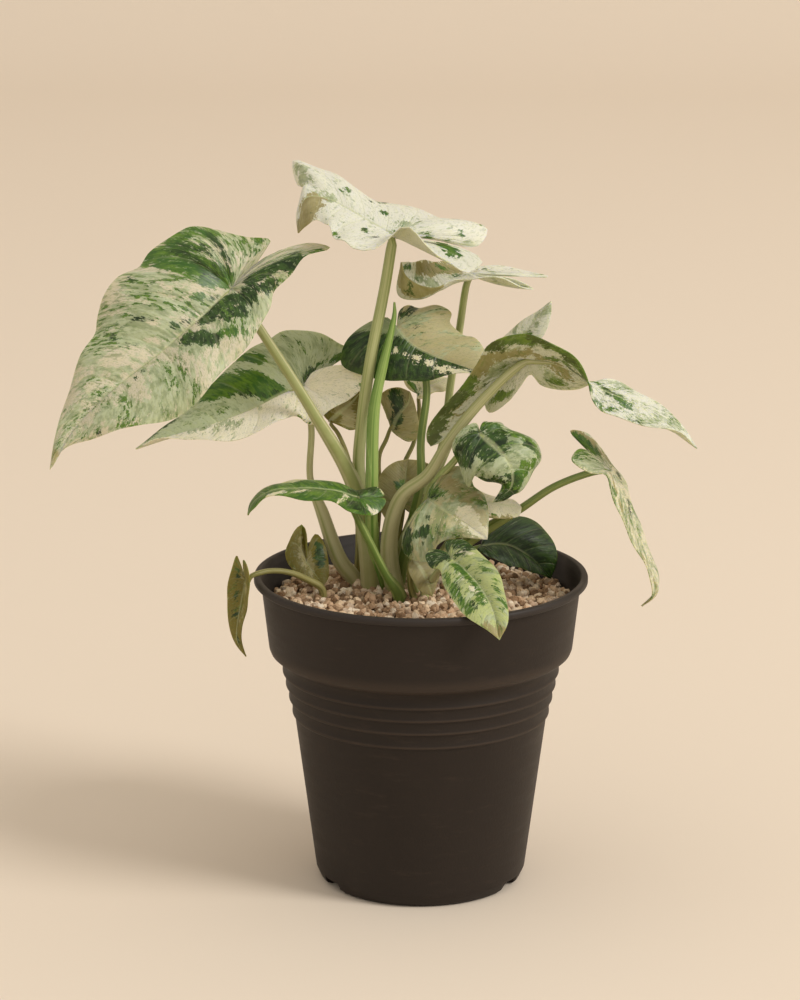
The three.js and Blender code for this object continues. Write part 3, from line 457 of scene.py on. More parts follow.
                [5, (1120, 470), (1180, 480)],
            ],
        },
    ),
    dict(
        name="leaf_pale_upright", look="pale", stalk_look="celery",
        ground=("white", "white"), mottle=0.6, specks=0.3, spots=0.3,
        veins=6, swell=0.2, wave=0.4, arch=(0.1, 0.1),
        foot=(4, 23, 97), stalk=[
            (414, 583, 23), (421, 520, 19), (440, 468, 16), (462, 420, 14), (488, 388, 13),
        ],
        stalk_radii=[1.8, 1.7, 1.5, 1.2, 1.1, 1.0],
        rib=[(506, 366, 13), (518, 347, 13), (535, 322, 14), (552, 301, 14)],
        left=[
            (538, 310, 17), (520, 322, 18), (506, 335, 18), (494, 350, 17), (488, 368, 15),
            (496, 374, 14),
        ],
        right=[(550, 318, 10), (545, 332, 8), (532, 350, 8), (520, 364, 9), (512, 374, 11)],
        strokes={
            ("right", "mint", "both"): [[4, (620, 220), (700, 180), (770, 90)]],
            ("right", "fresh", "both"): [[4, (600, 250), (680, 220)]],
        },
    ),
    dict(
        name="leaf_right_marbled", look="marbled", stalk_look="celery",
        ground=("palemint", "palemint"), mottle=0.8, specks=0.9, spots=0.6,
        veins=7, swell=0.8, wave=0.9, arch=(0.2, 0.2),
        foot=(3, 11, 97), stalk=[
            (412, 585, 11), (420, 530, 7), (432, 487, 2), (453, 462, -2), (471, 441, -6),
        ],
        stalk_radii=[1.9, 1.8, 1.6, 1.4, 1.3, 1.2],
        rib=[(479, 434, -9), (498, 450, -13), (511, 468, -15), (511, 487, -15), (494, 502, -13)],
        left=[
            (505, 500, -14), (514, 495, -14), (522, 490, -12), (531, 474, -9), (543, 458, -6),
            (536, 443, -4), (521, 434, -2), (498, 423, -3), (484, 422, -5),
        ],
        right=[
            (502, 485, -13), (487, 482, -13), (474, 475, -12), (468, 487, -11), (463, 474, -11),
            (456, 460, -10), (453, 447, -9), (460, 432, -7), (470, 425, -6), (477, 424, -6),
        ],
        strokes={
            ("low right", "deep", "both"): [
                [12, (240, 340), (320, 270), (460, 240)], [10, (400, 310), (480, 270)],
                [7, (250, 250), (330, 200)], [6, (360, 480), (480, 500), (560, 480)],
                [5, (530, 580), (480, 615)], [3, (640, 250), (700, 300)], [2, (400, 390), (410, 400)],
            ],
            ("low right", "fresh", "both"): [
                [8, (520, 540), (600, 480), (640, 420)], [6, (560, 190), (660, 260), (730, 340)],
                [5, (380, 150), (480, 170)], [4, (690, 400), (700, 360)],
            ],
            ("low right", "mint", "both"): [
                [8, (340, 400), (440, 400), (520, 360)], [6, (560, 260), (620, 330)],
            ],
        },
    ),
    dict(
        name="leaf_far_right", look="marbled", stalk_look="green",
        ground=("cream", "cream"), mottle=0.9, specks=1.1, spots=0.4,
        veins=9, swell=0.3, wave=0.3, arch=(0.0, 0.0),
        foot=(6, 17, 97), stalk=[
            (418, 583, 16), (448, 556, 12), (487, 528, 8), (520, 510, 4), (552, 488, 0), (584, 475, -3),
            (603, 471, -5),
        ],
        stalk_radii=[2.3, 2.3, 2.3, 2.2, 1.5, 1.35, 1.3, 1.25],
        rib=[
            (611, 472, -4), (622, 497, -5), (638, 535, -7), (651, 570, -8), (657, 592, -8),
            (641, 606, -7),
        ],
        left=[
            (658, 586, 0), (653, 556, 6), (641, 527, 9), (631, 498, 9), (623, 478, 5), (612, 463, 6),
            (600, 447, 8), (587, 433, 9), (570, 431, 8), (583, 446, 5), (598, 459, 1),
        ],
        right=[
            (652, 598, -13), (650, 576, -18), (636, 548, -21), (621, 515, -20), (611, 490, -14),
            (605, 475, -11), (592, 473, -12), (571, 460, -11), (580, 449, -9), (596, 457, -6),
        ],
        strokes={
            ("low right", "tan", "left"): [
                [9, (910, 200), (980, 240), (1060, 290)], [4, (1060, 250), (1130, 350)],
            ],
            ("low right", "fresh", "left"): [[4, (930, 215), (990, 260), (1060, 320)]],
            ("low right", "fresh", "right"): [[4, (920, 320), (980, 300)], [2, (920, 350), (960, 340)]],
            ("low right", "mint", "right"): [[5, (1000, 380), (1080, 400)]],
            ("low right", "tan", "both"): [
                [3, (1150, 440), (1190, 560), (1230, 700), (1290, 830)],
                [3, (1330, 920), (1400, 1060), (1430, 1130)],
                [3, (1430, 1150), (1410, 1210), (1350, 1240)],
            ],
            ("low right", "deep", "both"): [
                [3, (1200, 450), (1220, 520)], [2.4, (1260, 610), (1280, 700)],
            ],
            ("low right", "fresh", "both"): [
                [2, (1310, 830), (1340, 880)], [3, (1140, 480), (1180, 560)],
            ],
        },
    ),
    dict(
        name="leaf_low_left", look="marbled", stalk_look="green",
        ground=("straw", "straw"), mottle=0.2, specks=0.4, spots=0.3,
        veins=7, swell=0.5, wave=0.7, arch=(0.05, 0.1),
        foot=(-7, -2, 97), stalk=[
            (398, 593, -4), (386, 575, -6), (370, 545, -9), (358, 518, -11), (352, 503, -12),
        ],
        stalk_radii=[2.8, 2.6, 1.7, 1.5, 1.4, 1.2],
        rib=[
            (357, 498, -11), (333, 491, -15), (300, 489, -18), (270, 492, -20), (254, 503, -20),
            (248, 516, -20),
        ],
        left=[
            (253, 508, -24), (266, 497, -25), (300, 499, -27), (330, 502, -26), (350, 510, -22),
            (366, 516, -17), (379, 512, -13), (386, 500, -10), (372, 498, -10),
        ],
        right=[
            (251, 503, -16), (266, 488, -11), (302, 480, -7), (333, 483, -4), (352, 490, -3),
            (366, 488, -3), (377, 488, -4), (385, 496, -6), (372, 496, -8),
        ],
        strokes={
            ("whole", "fresh", "both"): [[30, (265, 500), (300, 492), (340, 492), (360, 500)]],
            ("middle", "deep", "both"): [
                [8, (170, 380), (240, 340), (300, 350)], [7, (160, 460), (230, 490)],
            ],
            ("middle", "cream", "both"): [[2, (60, 440), (120, 390)], [2.5, (270, 490), (330, 520)]],
            ("whole", "cream", "both"): [[3, (270, 497), (310, 490)]],
            ("whole", "deep", "both"): [[4, (355, 494), (372, 488)]],
        },
    ),
    dict(
        name="leaf_side_olive", look="olive", stalk_look="olive",
        ground=("olive", "olive"), mottle=0.3, specks=0.5, spots=0.2,
        veins=5, swell=0.2, wave=0.4, arch=(0.1, 0.1),
        foot=(-35, 16, 97), stalk=[(323, 588, 16), (318, 578, 16), (310, 566, 14)],
        stalk_radii=[1.6, 1.5, 1.2, 1.0],
        rib=[(306, 562, 11), (312, 571, 10), (318, 579, 9), (324, 585, 8)],
        left=[
            (328, 577, 10), (328, 562, 12), (326, 548, 14), (322, 538, 16), (316, 534, 17),
            (310, 541, 14), (307, 552, 12),
        ],
        right=[
            (313, 583, 7), (300, 576, 7), (290, 566, 8), (285, 553, 9), (289, 541, 11), (295, 530, 13),
            (302, 524, 15), (306, 533, 13), (306, 548, 11),
        ],
        strokes={
            ("whole", "tan", "both"): [[4, (300, 540), (310, 570)]],
            ("whole", "deep", "both"): [[4, (318, 545), (322, 560)]],
        },
    ),
    dict(
        name="leaf_side_hanging", look="dark", stalk_look="olive",
        ground=("olive", "olive"), mottle=0.2, specks=0.7, spots=0.2,
        veins=6, swell=0.4, wave=0.4, arch=(0.05, 0.05),
        foot=(-36, 1, 97), stalk=[
            (322, 590, 1), (308, 580, -1), (290, 572, -5), (273, 571, -8), (260, 573, -11),
            (251, 577, -12),
        ],
        stalk_radii=[1.7, 1.5, 1.3, 1.1, 1.0, 1.0, 0.9],
        rib=[(247, 580, -12), (243, 600, -13), (238, 622, -14), (238, 640, -14), (246, 657, -13)],
        left=[
            (241, 640, -15), (243, 625, -17), (247, 603, -19), (249, 585, -18), (248, 567, -17),
            (243, 560, -15), (244, 570, -13),
        ],
        right=[
            (236, 645, -13), (229, 626, -12), (227, 603, -11), (228, 586, -11), (232, 570, -11),
            (237, 556, -11), (240, 567, -11),
        ],
        strokes={
            ("whole", "deep", "both"): [[2, (236, 570), (234, 600), (236, 640)]],
            ("whole", "tan", "both"): [[2.5, (243, 575), (245, 590), (240, 620)]],
        },
    ),
    dict(
        name="leaf_over_rim", look="marbled", stalk_look="celery",
        ground=("celery", "celery"), mottle=0.8, specks=0.7, spots=0.8,
        veins=7, swell=0.6, wave=0.4, arch=(0.15, 0.1),
        foot=(7, -3, 97), stalk=[(424, 592, -3), (432, 580, -9), (441, 568, -19), (449, 562, -26)],
        stalk_radii=[1.6, 1.5, 1.4, 1.2, 1.1],
        rib=[(452, 559, -28), (470, 575, -39), (485, 595, -50), (495, 616, -59), (500, 640, -64)],
        left=[
            (507, 625, -63), (508, 612, -59), (505, 594, -52), (498, 572, -42), (485, 558, -34),
            (472, 545, -27), (460, 539, -24), (446, 542, -23), (449, 550, -25),
        ],
        right=[
            (490, 632, -64), (470, 619, -61), (454, 601, -51), (444, 583, -42), (440, 571, -35),
            (430, 566, -29), (426, 556, -26), (433, 549, -25), (444, 551, -26),
        ],
        strokes={
            ("middle", "deep", "left"): [[9, (800, 730), (870, 720), (970, 760)]],
            ("middle", "deep", "right"): [[10, (720, 850), (760, 800), (820, 830)]],
            ("middle", "fresh", "both"): [
                [5, (900, 900), (1000, 1000), (1100, 1150)], [4, (820, 960), (900, 1080), (1000, 1200)],
                [3, (1080, 900), (1180, 1000), (1230, 1200)],
            ],
            ("middle", "cream", "both"): [
                [1.5, (930, 950), (1020, 1050), (1120, 1160)], [1.5, (920, 780), (1020, 820)],
            ],
            ("middle", "deep", "both"): [
                [2, (880, 960), (930, 1060), (1050, 1200)], [3, (880, 840), (930, 820)],
            ],
            ("middle", "tan", "both"): [[4, (1190, 1380), (1230, 1370)], [3, (1100, 1320), (1180, 1360)]],
            ("middle", "mint", "right"): [[6, (830, 980), (880, 1080)]],
        },
    ),
    dict(
        name="leaf_back_dark", look="dark", stalk_look="green",
        ground=("leafgreen", "leafgreen"), mottle=0.1, specks=0.3, spots=0.15,
        veins=7, swell=0.6, wave=0.5, arch=(0.1, 0.1),
        foot=(10, 22, 97), stalk=[(424, 580, 21), (440, 568, 17), (470, 552, 14)],
        stalk_radii=[2.0, 2.0, 1.7, 1.4],
        rib=[(482, 546, 12), (505, 545, 16), (530, 558, 18), (551, 579, 19)],
        left=[
            (557, 560, 22), (551, 538, 25), (537, 523, 27), (520, 516, 27), (500, 522, 24),
            (486, 532, 19), (482, 540, 15),
        ],
        right=[(540, 575, 14), (520, 568, 10), (500, 562, 8), (488, 556, 8), (478, 550, 9)],
        strokes={
            ("whole", "deep", "both"): [[40, (500, 540), (530, 560)]],
            ("low right", "fresh", "left"): [[4, (560, 760), (700, 780), (790, 900)]],
            ("low right", "fresh", "both"): [[2.4, (800, 980), (790, 1060)]],
        },
    ),
    dict(
        name="leaf_centre_pale", look="marbled", stalk_look="celery",
        ground=("beige", "beige"), mottle=0.9, specks=1.6, spots=0.3,
        veins=7, swell=0.7, wave=0.8, arch=(0.15, 0.15),
        foot=(5, 4, 97), stalk=[(418, 588, 4), (414, 550, 3), (419, 520, 0), (426, 503, -2)],
        stalk_radii=[1.9, 1.8, 1.6, 1.4, 1.2],
        rib=[(428, 499, -3), (447, 512, -7), (468, 526, -9), (487, 540, -10)],
        left=[
            (488, 518, -6), (484, 494, -2), (474, 488, 0), (468, 470, 2), (452, 468, 2), (438, 480, 1),
            (430, 488, -1),
        ],
        right=[
            (470, 538, -12), (450, 538, -12), (438, 545, -13), (430, 560, -13), (418, 561, -12),
            (406, 555, -10), (401, 543, -8), (408, 524, -5), (420, 507, -3),
        ],
        strokes={
            ("middle", "deep", "both"): [
                [5, (540, 650), (540, 780)], [4, (620, 660), (690, 630)], [3, (730, 400), (800, 390)],
                [2, (700, 545), (710, 560)], [3, (740, 600), (760, 660)], [2, (635, 735), (640, 740)],
            ],
            ("middle", "fresh", "both"): [[6, (720, 380), (800, 400)]],
            ("middle", "cream", "both"): [[9, (960, 520), (1020, 600), (1100, 690)]],
            ("middle", "tan", "both"): [[7, (950, 420), (1040, 400)], [8, (800, 300), (900, 360)]],
        },
    ),
    dict(
        name="leaf_centre_white", look="pale", stalk_look="celery",
        ground=("cream", "cream"), mottle=0.25, specks=0.3, spots=0.3,
        veins=5, swell=0.2, wave=0.4, arch=(0.1, 0.05),
        foot=(11, 9, 97), stalk=[(429, 583, 9), (444, 548, 6), (472, 516, 4)],
        stalk_radii=[1.6, 1.5, 1.3, 1.1],
        rib=[(486, 503, 4), (500, 505, 2), (521, 508, 1)],
        left=[(514, 501, 5), (500, 499, 8), (486, 494, 8), (478, 490, 9), (468, 482, 10), (470, 494, 7)],
        right=[(519, 516, -2), (505, 518, -3), (487, 517, -3), (478, 508, 0)],
        strokes={
            ("middle", "fresh", "both"): [[2, (1160, 525), (1190, 525)]],
            ("middle", "tan", "both"): [[4, (1150, 590), (1280, 590)]],
        },
    ),
    dict(
        name="leaf_back_olive", look="olive", stalk_look="olive",
        ground=("beige", "beige"), mottle=0.5, specks=0.9, spots=0.3,
        veins=6, swell=0.2, wave=0.5, arch=(0.1, 0.1),
        foot=(-13, 27, 97), stalk=[(384, 580, 27), (394, 550, 24), (402, 515, 24)],
        stalk_radii=[1.9, 1.8, 1.5, 1.2],
        rib=[(403, 505, 22), (404, 492, 24), (406, 478, 26.5), (408, 460, 28.5)],
        left=[
            (395, 463, 28), (382, 472, 25), (376, 490, 22), (380, 508, 20), (388, 520, 19),
            (396, 516, 19),
        ],
        right=[
            (420, 461, 28), (432, 466, 26), (436, 482, 24), (428, 500, 21), (418, 515, 19),
            (408, 512, 20),
        ],
        strokes={
            ("whole", "tan", "both"): [[30, (390, 480), (410, 480), (400, 505)]],
            ("whole", "fresh", "both"): [[4, (400, 486), (412, 484)]],
        },
    ),
    dict(
        name="leaf_back_cream", look="pale", stalk_look="olive",
        ground=("cream", "cream"), mottle=0.3, specks=0.3, spots=0.3,
        veins=5, swell=0.2, wave=0.4, arch=(0.05, 0.05),
        foot=(-1, 28, 97), stalk=[
            (396, 580, 29), (402, 500, 31), (404, 465, 31), (414, 442, 32), (419, 411, 34),
        ],
        stalk_radii=[1.5, 1.4, 1.1, 0.9, 0.8, 0.8],
        rib=[(418, 393, 34), (424, 387, 35), (436, 383, 36), (449, 378, 37)],
        left=[(434, 376, 38), (418, 374, 39), (404, 378, 37), (408, 388, 35)],
        right=[(447, 390, 33), (434, 392, 31), (424, 398, 30), (418, 398, 32)],
        strokes={
            ("right", "fresh", "both"): [[3, (90, 455), (140, 500)]],
        },
    ),
    dict(
        name="leaf_back_tan", look="olive", stalk_look="olive",
        ground=("beige", "beige"), mottle=0.4, specks=0.6, spots=0.3,
        veins=5, swell=0.2, wave=0.4, arch=(0.05, 0.05),
        foot=(-19, 27, 97), stalk=[(372, 580, 27), (379, 500, 27), (380, 455, 27), (386, 440, 28)],
        stalk_radii=[1.5, 1.4, 1.0, 0.8, 0.8],
        rib=[(392, 429, 27), (396, 420, 26), (402, 412, 26), (408, 403, 27), (409, 392, 28)],
        left=[
            (398, 387, 28), (386, 390, 28), (380, 397, 27), (384, 405, 26), (390, 414, 26),
            (391, 423, 26),
        ],
        right=[
            (414, 402, 29), (418, 418, 28), (419, 436, 26), (410, 442, 25), (400, 437, 25),
            (395, 433, 26),
        ],
        strokes={
            ("whole", "tan", "both"): [[30, (390, 400), (400, 420), (410, 440)]],
            ("whole", "deep", "both"): [[5, (392, 392), (397, 410), (396, 424)]],
        },
    ),
    dict(
        name="leaf_back_left", look="olive", stalk_look="olive",
        ground=("olive", "olive"), mottle=0.3, specks=0.6, spots=0.3,
        veins=5, swell=0.2, wave=0.4, arch=(0.05, 0.05),
        foot=(-26, 26, 97), stalk=[(356, 580, 26), (357, 510, 26), (348, 456, 25), (338, 434, 25)],
        stalk_radii=[1.6, 1.5, 1.2, 0.8, 0.8],
        rib=[(330, 420, 22), (340, 412, 24), (350, 404, 27), (362, 392, 30)],
        left=[(350, 392, 31), (338, 398, 30), (328, 406, 27), (324, 416, 24)],
        right=[(366, 408, 27), (362, 425, 24), (352, 430, 22), (340, 426, 21)],
        strokes={
            ("whole", "tan", "both"): [[9, (340, 400), (350, 420)]],
        },
    ),
    dict(
        name="leaf_withered", look="olive", stalk_look="olive",
        ground=("olive", "olive"), mottle=0.2, specks=0.5, spots=0.2,
        veins=4, swell=0.2, wave=0.3, arch=(0.05, 0.05),
        foot=(2, -3, 97), stalk=[(413, 594, -3), (410, 580, -4), (410, 566, -6)],
        stalk_radii=[1.4, 1.3, 1.1, 1.0],
        rib=[(412, 560, -8), (420, 568, -9), (427, 580, -10), (432, 597, -10)],
        left=[(436, 585, -9), (439, 572, -8), (428, 563, -6), (418, 558, -6)],
        right=[(420, 590, -11), (412, 580, -11), (409, 568, -10)],
        strokes={
            ("whole", "tan", "both"): [[30, (415, 570), (430, 590)]],
        },
    ),
]


EYE_TILT = math.radians(VIEW_ELEVATION)
AHEAD = np.array([0, np.cos(EYE_TILT), -np.sin(EYE_TILT)])
ABOVE = np.array([0, np.sin(EYE_TILT), np.cos(EYE_TILT)])
EYE = np.array(VIEW_CENTRE) - VIEW_DISTANCE * AHEAD


def picked_places(picks):
    """Picks as places in millimetres, to a tenth: where the ray from the camera through the pixel
    meets the upright plane at the pick's depth."""
    x, y, depth = np.array(picks, float).T[:, :, None]
    ray = AHEAD + np.array([1.0, 0, 0]) * (x - PHOTO_WIDTH / 2) / FOCAL_PIXELS
    ray = ray + ABOVE * (PHOTO_HEIGHT / 2 - y) / FOCAL_PIXELS
    return np.round(EYE + (depth - EYE[1]) / ray[:, 1:2] * ray, 1)


def halves(values):
    """Values rounded to the nearest half."""
    return np.round(np.asarray(values) * 2) / 2


def seen_from_camera(points):
    """The photograph's pixels of points in millimetres, and their distances along the view."""
    gap = points - EYE
    distance = gap @ AHEAD
    x = PHOTO_WIDTH / 2 + FOCAL_PIXELS * gap[:, 0] / distance
    return np.stack([x, PHOTO_HEIGHT / 2 - FOCAL_PIXELS * (gap @ ABOVE) / distance], -1), distance


def laid_strokes(leaf):
    """The leaf's strokes as paint, half, half width and line in millimetres. Each picked point goes
    to the place on the blade that lies under it, and where the blade passes under it more than once,
    to the place nearest the camera. Places are rounded to whole millimetres."""
    rows, columns = STROKE_GRID
    s, t = np.linspace(0, 1, rows + 1), np.linspace(0, 1, columns + 1)
    flat = {**leaf, "swell": 0, "wave": 0}
    sides = {"left": (1,), "right": (-1,), "both": (1, -1)}
    blade = {
        half: np.vstack([half_blade(flat, side, s, t).reshape(-1, 3) for side in some])
        for half, some in sides.items()
    }
    strokes = []
    for (close_up, paint, half), lines in leaf["strokes"].items():
        left, top, enlargement = CLOSE_UPS[close_up]
        pixels, distance = seen_from_camera(blade[half])
        for width, *line in lines:
            picks = np.array([(left + x / enlargement, top + y / enlargement) for x, y in line])
            miss = np.hypot(*(pixels - picks[:, None]).T).T
            near = miss < np.maximum(miss.min(1, keepdims=True) + 1.0, 1.5)
            front = np.argmin(np.where(near, distance, np.inf), 1)
            breadth = max(NARROWEST_STROKE, float(halves(width * MM_PER_PIXEL)))
            strokes.append((paint, half, breadth, np.round(blade[half][front])))
    return strokes


def half_width(leaf):
    """The mean of the two margins' farthest distances from the line from stalk to tip."""
    start, forward = leaf["rib"][0], unit(leaf["rib"][-1] - leaf["rib"][0])
    gaps = [leaf[side] - start for side in ("left", "right")]
    aside = [np.linalg.norm(gap - np.outer(gap @ forward, forward), axis=1) for gap in gaps]
    return round(float(np.mean([gap.max() for gap in aside])))


def placed(leaf):
    """The leaf with its picks turned into millimetres. Its outline is rounded to half millimetres,
    as the CAD part has it."""
    exact = {**leaf, **{name: picked_places(leaf[name]) for name in ("stalk", "rib", "left", "right")}}
    stalk = np.vstack([leaf["foot"], exact["stalk"]])
    rounded = {name: halves(exact[name]) for name in ("rib", "left", "right")}
    return {
        **leaf, **rounded,
        "stalk": halves(stalk), "half_width": half_width(exact), "strokes": laid_strokes(exact),
    }


def quads(index):
    """The two triangles of every cell of a grid of point numbers."""
    a, b, c, d = index[:-1, :-1], index[:-1, 1:], index[1:, 1:], index[1:, :-1]
    return np.stack([a, b, c, a, c, d], -1).reshape(-1, 3)


def smooth_path(points, shares):
    """Places and directions at shares of the length of a smooth curve through all the points.

    Each stretch between two points is a cubic, and the curve's pace between points goes with the
    square root of their distance, so that it neither loops nor overshoots.
    """
    p = np.array(points, float)
    p = np.vstack([2 * p[0] - p[1], p, 2 * p[-1] - p[-2]])
    pace = np.sqrt(np.linalg.norm(np.diff(p, axis=0), axis=1))[:, None]
    before, here, after = pace[:-2], pace[1:-1], pace[2:]
    start, end = p[1:-2], p[2:-1]
    leave = (start - p[:-3]) / before - (end - p[:-3]) / (before + here) + (end - start) / here
    arrive = (end - start) / here - (p[3:] - start) / (here + after) + (p[3:] - end) / after
    t = np.linspace(0, 1, CURVE_STEPS, endpoint=False)[None, :, None]
    curve = (
        (2 * t**3 - 3 * t**2 + 1) * start[:, None]
        + (t**3 - 2 * t**2 + t) * (here * leave)[:, None]
        + (3 * t**2 - 2 * t**3) * end[:, None]
        + (t**3 - t**2) * (here * arrive)[:, None]
    )
    curve = np.vstack([curve.reshape(-1, 3), p[-2]])
    run = np.concatenate([[0], np.cumsum(np.linalg.norm(np.diff(curve, axis=0), axis=1))])
    heading = np.gradient(curve, run, axis=0)
    at = np.asarray(shares) * run[-1]
    place = np.stack([np.interp(at, run, curve[:, k]) for k in range(3)], -1)
    direction = np.stack([np.interp(at, run, heading[:, k]) for k in range(3)], -1)
    return place, unit(direction)


def unit(vectors):
    return vectors / np.maximum(np.linalg.norm(vectors, axis=-1, keepdims=True), 1e-12)


def shoulder_share(margin, origin, forward):
    """The first share of the margin that lies nearly level with the stalk's end: past it the
    margin belongs to the rear lobe."""
    shares = np.arange(0.02, 1, 0.01)
    level = unit(smooth_path(margin, shares)[0] - origin) @ forward < SHOULDER_COSINE
    return shares[np.argmax(level)] if level.any() else SLIDE


def half_blade(leaf, side, s, t):
    """One half of a blade as a grid of points, row s from the tip (0) to the notch (1), place t
    from the midrib (0) to the margin (1).

    A row is the straight line from its root on the midrib to its place on the margin, arched by
    a share of its length times 4t(1 - t). The root slides from the tip down to the stalk's end
    while s runs to SLIDE, and there the last rows fan out into the rear lobe. Between the side
    veins the skin swells by the size of a sine wave, so that the veins lie in sharp furrows, and
    the margin waves a little. Both fade out on rows shorter than SHORT_ROW.
    """
    rib = leaf["rib"]
    margin = [rib[-1], *leaf["left" if side > 0 else "right"], rib[0]]
    origin, forward = smooth_path(rib, [0.0])
    shoulder = shoulder_share(margin, origin[0], forward[0])
    root, along = smooth_path(rib, np.clip(1 - s / SLIDE, 0, 1))
    rear = (s - SLIDE) / (1 - SLIDE) * (SINUS_END - shoulder)
    edge = smooth_path(margin, np.where(s < SLIDE, s / SLIDE * shoulder, shoulder + rear))[0]
    reach = (edge - root)[:, None]
    length = np.linalg.norm(reach, axis=-1, keepdims=True)
    up = side * np.cross(along[:, None], reach) / np.maximum(length, 1e-6)
    t = t[None, :, None]
    arch = leaf["arch"][0 if side > 0 else 1]
    points = root[:, None] + reach * t + up * arch * length * 4 * t * (1 - t)
    row = s[:, None, None]
    vein = leaf["veins"] * (row + VEIN_BEND * t**2)
    swell = np.abs(np.sin(np.pi * vein)) ** 0.7 * np.sin(np.pi * t**0.8) ** 0.8
    swell = swell - VEIN_FURROW * np.minimum(5 * t, 1)
    fade = np.clip(length / SHORT_ROW, 0, 1)
    wave = np.sin(2 * np.pi * leaf["veins"] * WAVES_PER_VEIN * row + 1.7 * side) * t**4
    return points + up * fade * (leaf["swell"] * swell + leaf["wave"] * wave)


def blade_surface(leaf):
    """The blade's upper face as triangles, its corners' places on the skin and its outline.

    Both halves share the midrib. The skin's own coordinates are u across (0 left margin, 0.5
    midrib, 1 right margin) and v from the tip to the notch.
    """
    size = np.linalg.norm(leaf["rib"][-1] - leaf["rib"][0])
    rows, columns = next(grid for least, *grid in BLADE_GRIDS if size > least)
    s, t = np.linspace(0, 1, rows + 1), np.linspace(0, 1, columns + 1) ** 1.15
    points, skin, corners, rim = [], [], [], []
    index = np.arange((rows + 1) * (columns + 1)).reshape(rows + 1, columns + 1)
    for half, side in enumerate((1, -1)):
        points.append(half_blade(leaf, side, s, t).reshape(-1, 3))
        across = np.broadcast_to(0.5 - side * t / 2, (rows + 1, columns + 1))
        skin.append(np.stack([across, np.broadcast_to(s[:, None], across.shape)], -1).reshape(-1, 2))
        grid = index + half * index.size
        faces = quads(grid)
        corners.append(faces if side > 0 else faces[:, ::-1])
        outline = np.concatenate([grid[:, -1], grid[-1, -2::-1]])
        pairs = np.stack([outline[:-1], outline[1:]], -1)
        rim.append(pairs[:, ::-1] if side > 0 else pairs)
    return np.vstack(points), np.vstack(skin), np.vstack(corners), np.vstack(rim)


def blade_solid(leaf):
    """The blade as one thin closed skin: the upper face, the under face moved back by the
    thickness, which thins towards the margin, with the midrib and side veins standing out below,
    and a narrow band that joins them round the outline."""
    points, skin, faces, rim = blade_surface(leaf)
    normal = np.zeros_like(points)
    merged = first_of_place(points)
    first, second, third = (points[faces[:, corner]] for corner in range(3))
    cross = np.cross(second - first, third - first)
    for corner in range(3):
        np.add.at(normal, merged[faces[:, corner]], cross)
    normal = unit(normal)[merged]
    t = np.abs(2 * skin[:, :1] - 1)
    half = (BLADE_THICKNESS - BLADE_THINNING * t**6) / 2
    ridge = MIDRIB_DEPTH * np.exp(-((t * leaf["half_width"] / 1.1) ** 2))
    ridge *= np.clip(skin[:, 1:] * 6, 0, 1)
    upper = points + normal * half
    lower = points - normal * (half + ridge)
    count = len(points)
    under = faces[:, ::-1] + count
    a, b = rim[:, 0], rim[:, 1]
    band = np.concatenate([np.stack([a, b, b + count], -1), np.stack([a, b + count, a + count], -1)])
    return np.vstack([upper, lower]), np.vstack([skin, skin]), np.vstack([faces, under, band])


def first_of_place(points):
    """For each point the number of the first point that lies in the same place."""
    rounded = np.round(points, SAME_PLACE_DIGITS)
    _, first, group = np.unique(rounded, axis=0, return_index=True, return_inverse=True)
    return first[group.reshape(-1)]


def linear(colour):
    """A colour as seen, turned into the light it stands for, by the usual display curve."""
    share = np.array(colour) / 255
    light = np.where(share < 0.04045, share / 12.92, ((share + 0.055) / 1.055) ** 2.4)
    return (*light.tolist(), 1.0)


def weld(points, faces):
    """Points that share a place become one, and faces that lose their area go. Also tells which
    faces stay."""
    place, group = np.unique(np.round(points, SAME_PLACE_DIGITS), axis=0, return_inverse=True)
    faces = group.reshape(-1)[faces]
    a, b, c = faces.T
    kept = (a != b) & (b != c) & (c != a)
    return place, faces[kept], kept


def add_piece(name, points, faces, materials, slot, node=None, skin=None, paints=None, look=None):
    """A mesh of triangles in metres from points in millimetres, riding on the plant's one body.
    skin holds two coordinates, and paints one value, for each point before welding."""
    welded, triangles, kept = weld(points, faces)
    mesh = bpy.data.meshes.new(name)
    mesh.vertices.add(len(welded))
    mesh.vertices.foreach_set("co", (welded / 1000).ravel())
    mesh.loops.add(triangles.size)
    mesh.loops.foreach_set("vertex_index", triangles.ravel())
    mesh.polygons.add(len(triangles))
    mesh.polygons.foreach_set("loop_start", np.arange(0, triangles.size, 3))
    mesh.polygons.foreach_set("use_smooth", np.ones(len(triangles), bool))
    corners = faces[kept].ravel()
    if skin is not None:
        mesh.uv_layers.new(name="skin").data.foreach_set("uv", skin[corners].ravel())
    for paint, values in (paints or {}).items():
        layer = mesh.attributes.new(paint, "FLOAT", "CORNER")
        layer.data.foreach_set("value", values[corners].astype(np.float32))
    for material in materials:
        mesh.materials.append(material)
    if look is not None:
        mesh.polygons.foreach_set("material_index", look[kept])
    mesh.update()
    mesh.validate()
    mesh.set_sharp_from_angle(angle=math.radians(SHARP_ANGLE))
    piece = bpy.data.objects.new(name, mesh)
    bpy.context.collection.objects.link(piece)
    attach(piece, "root")
    if node:
        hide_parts(node)
    return piece


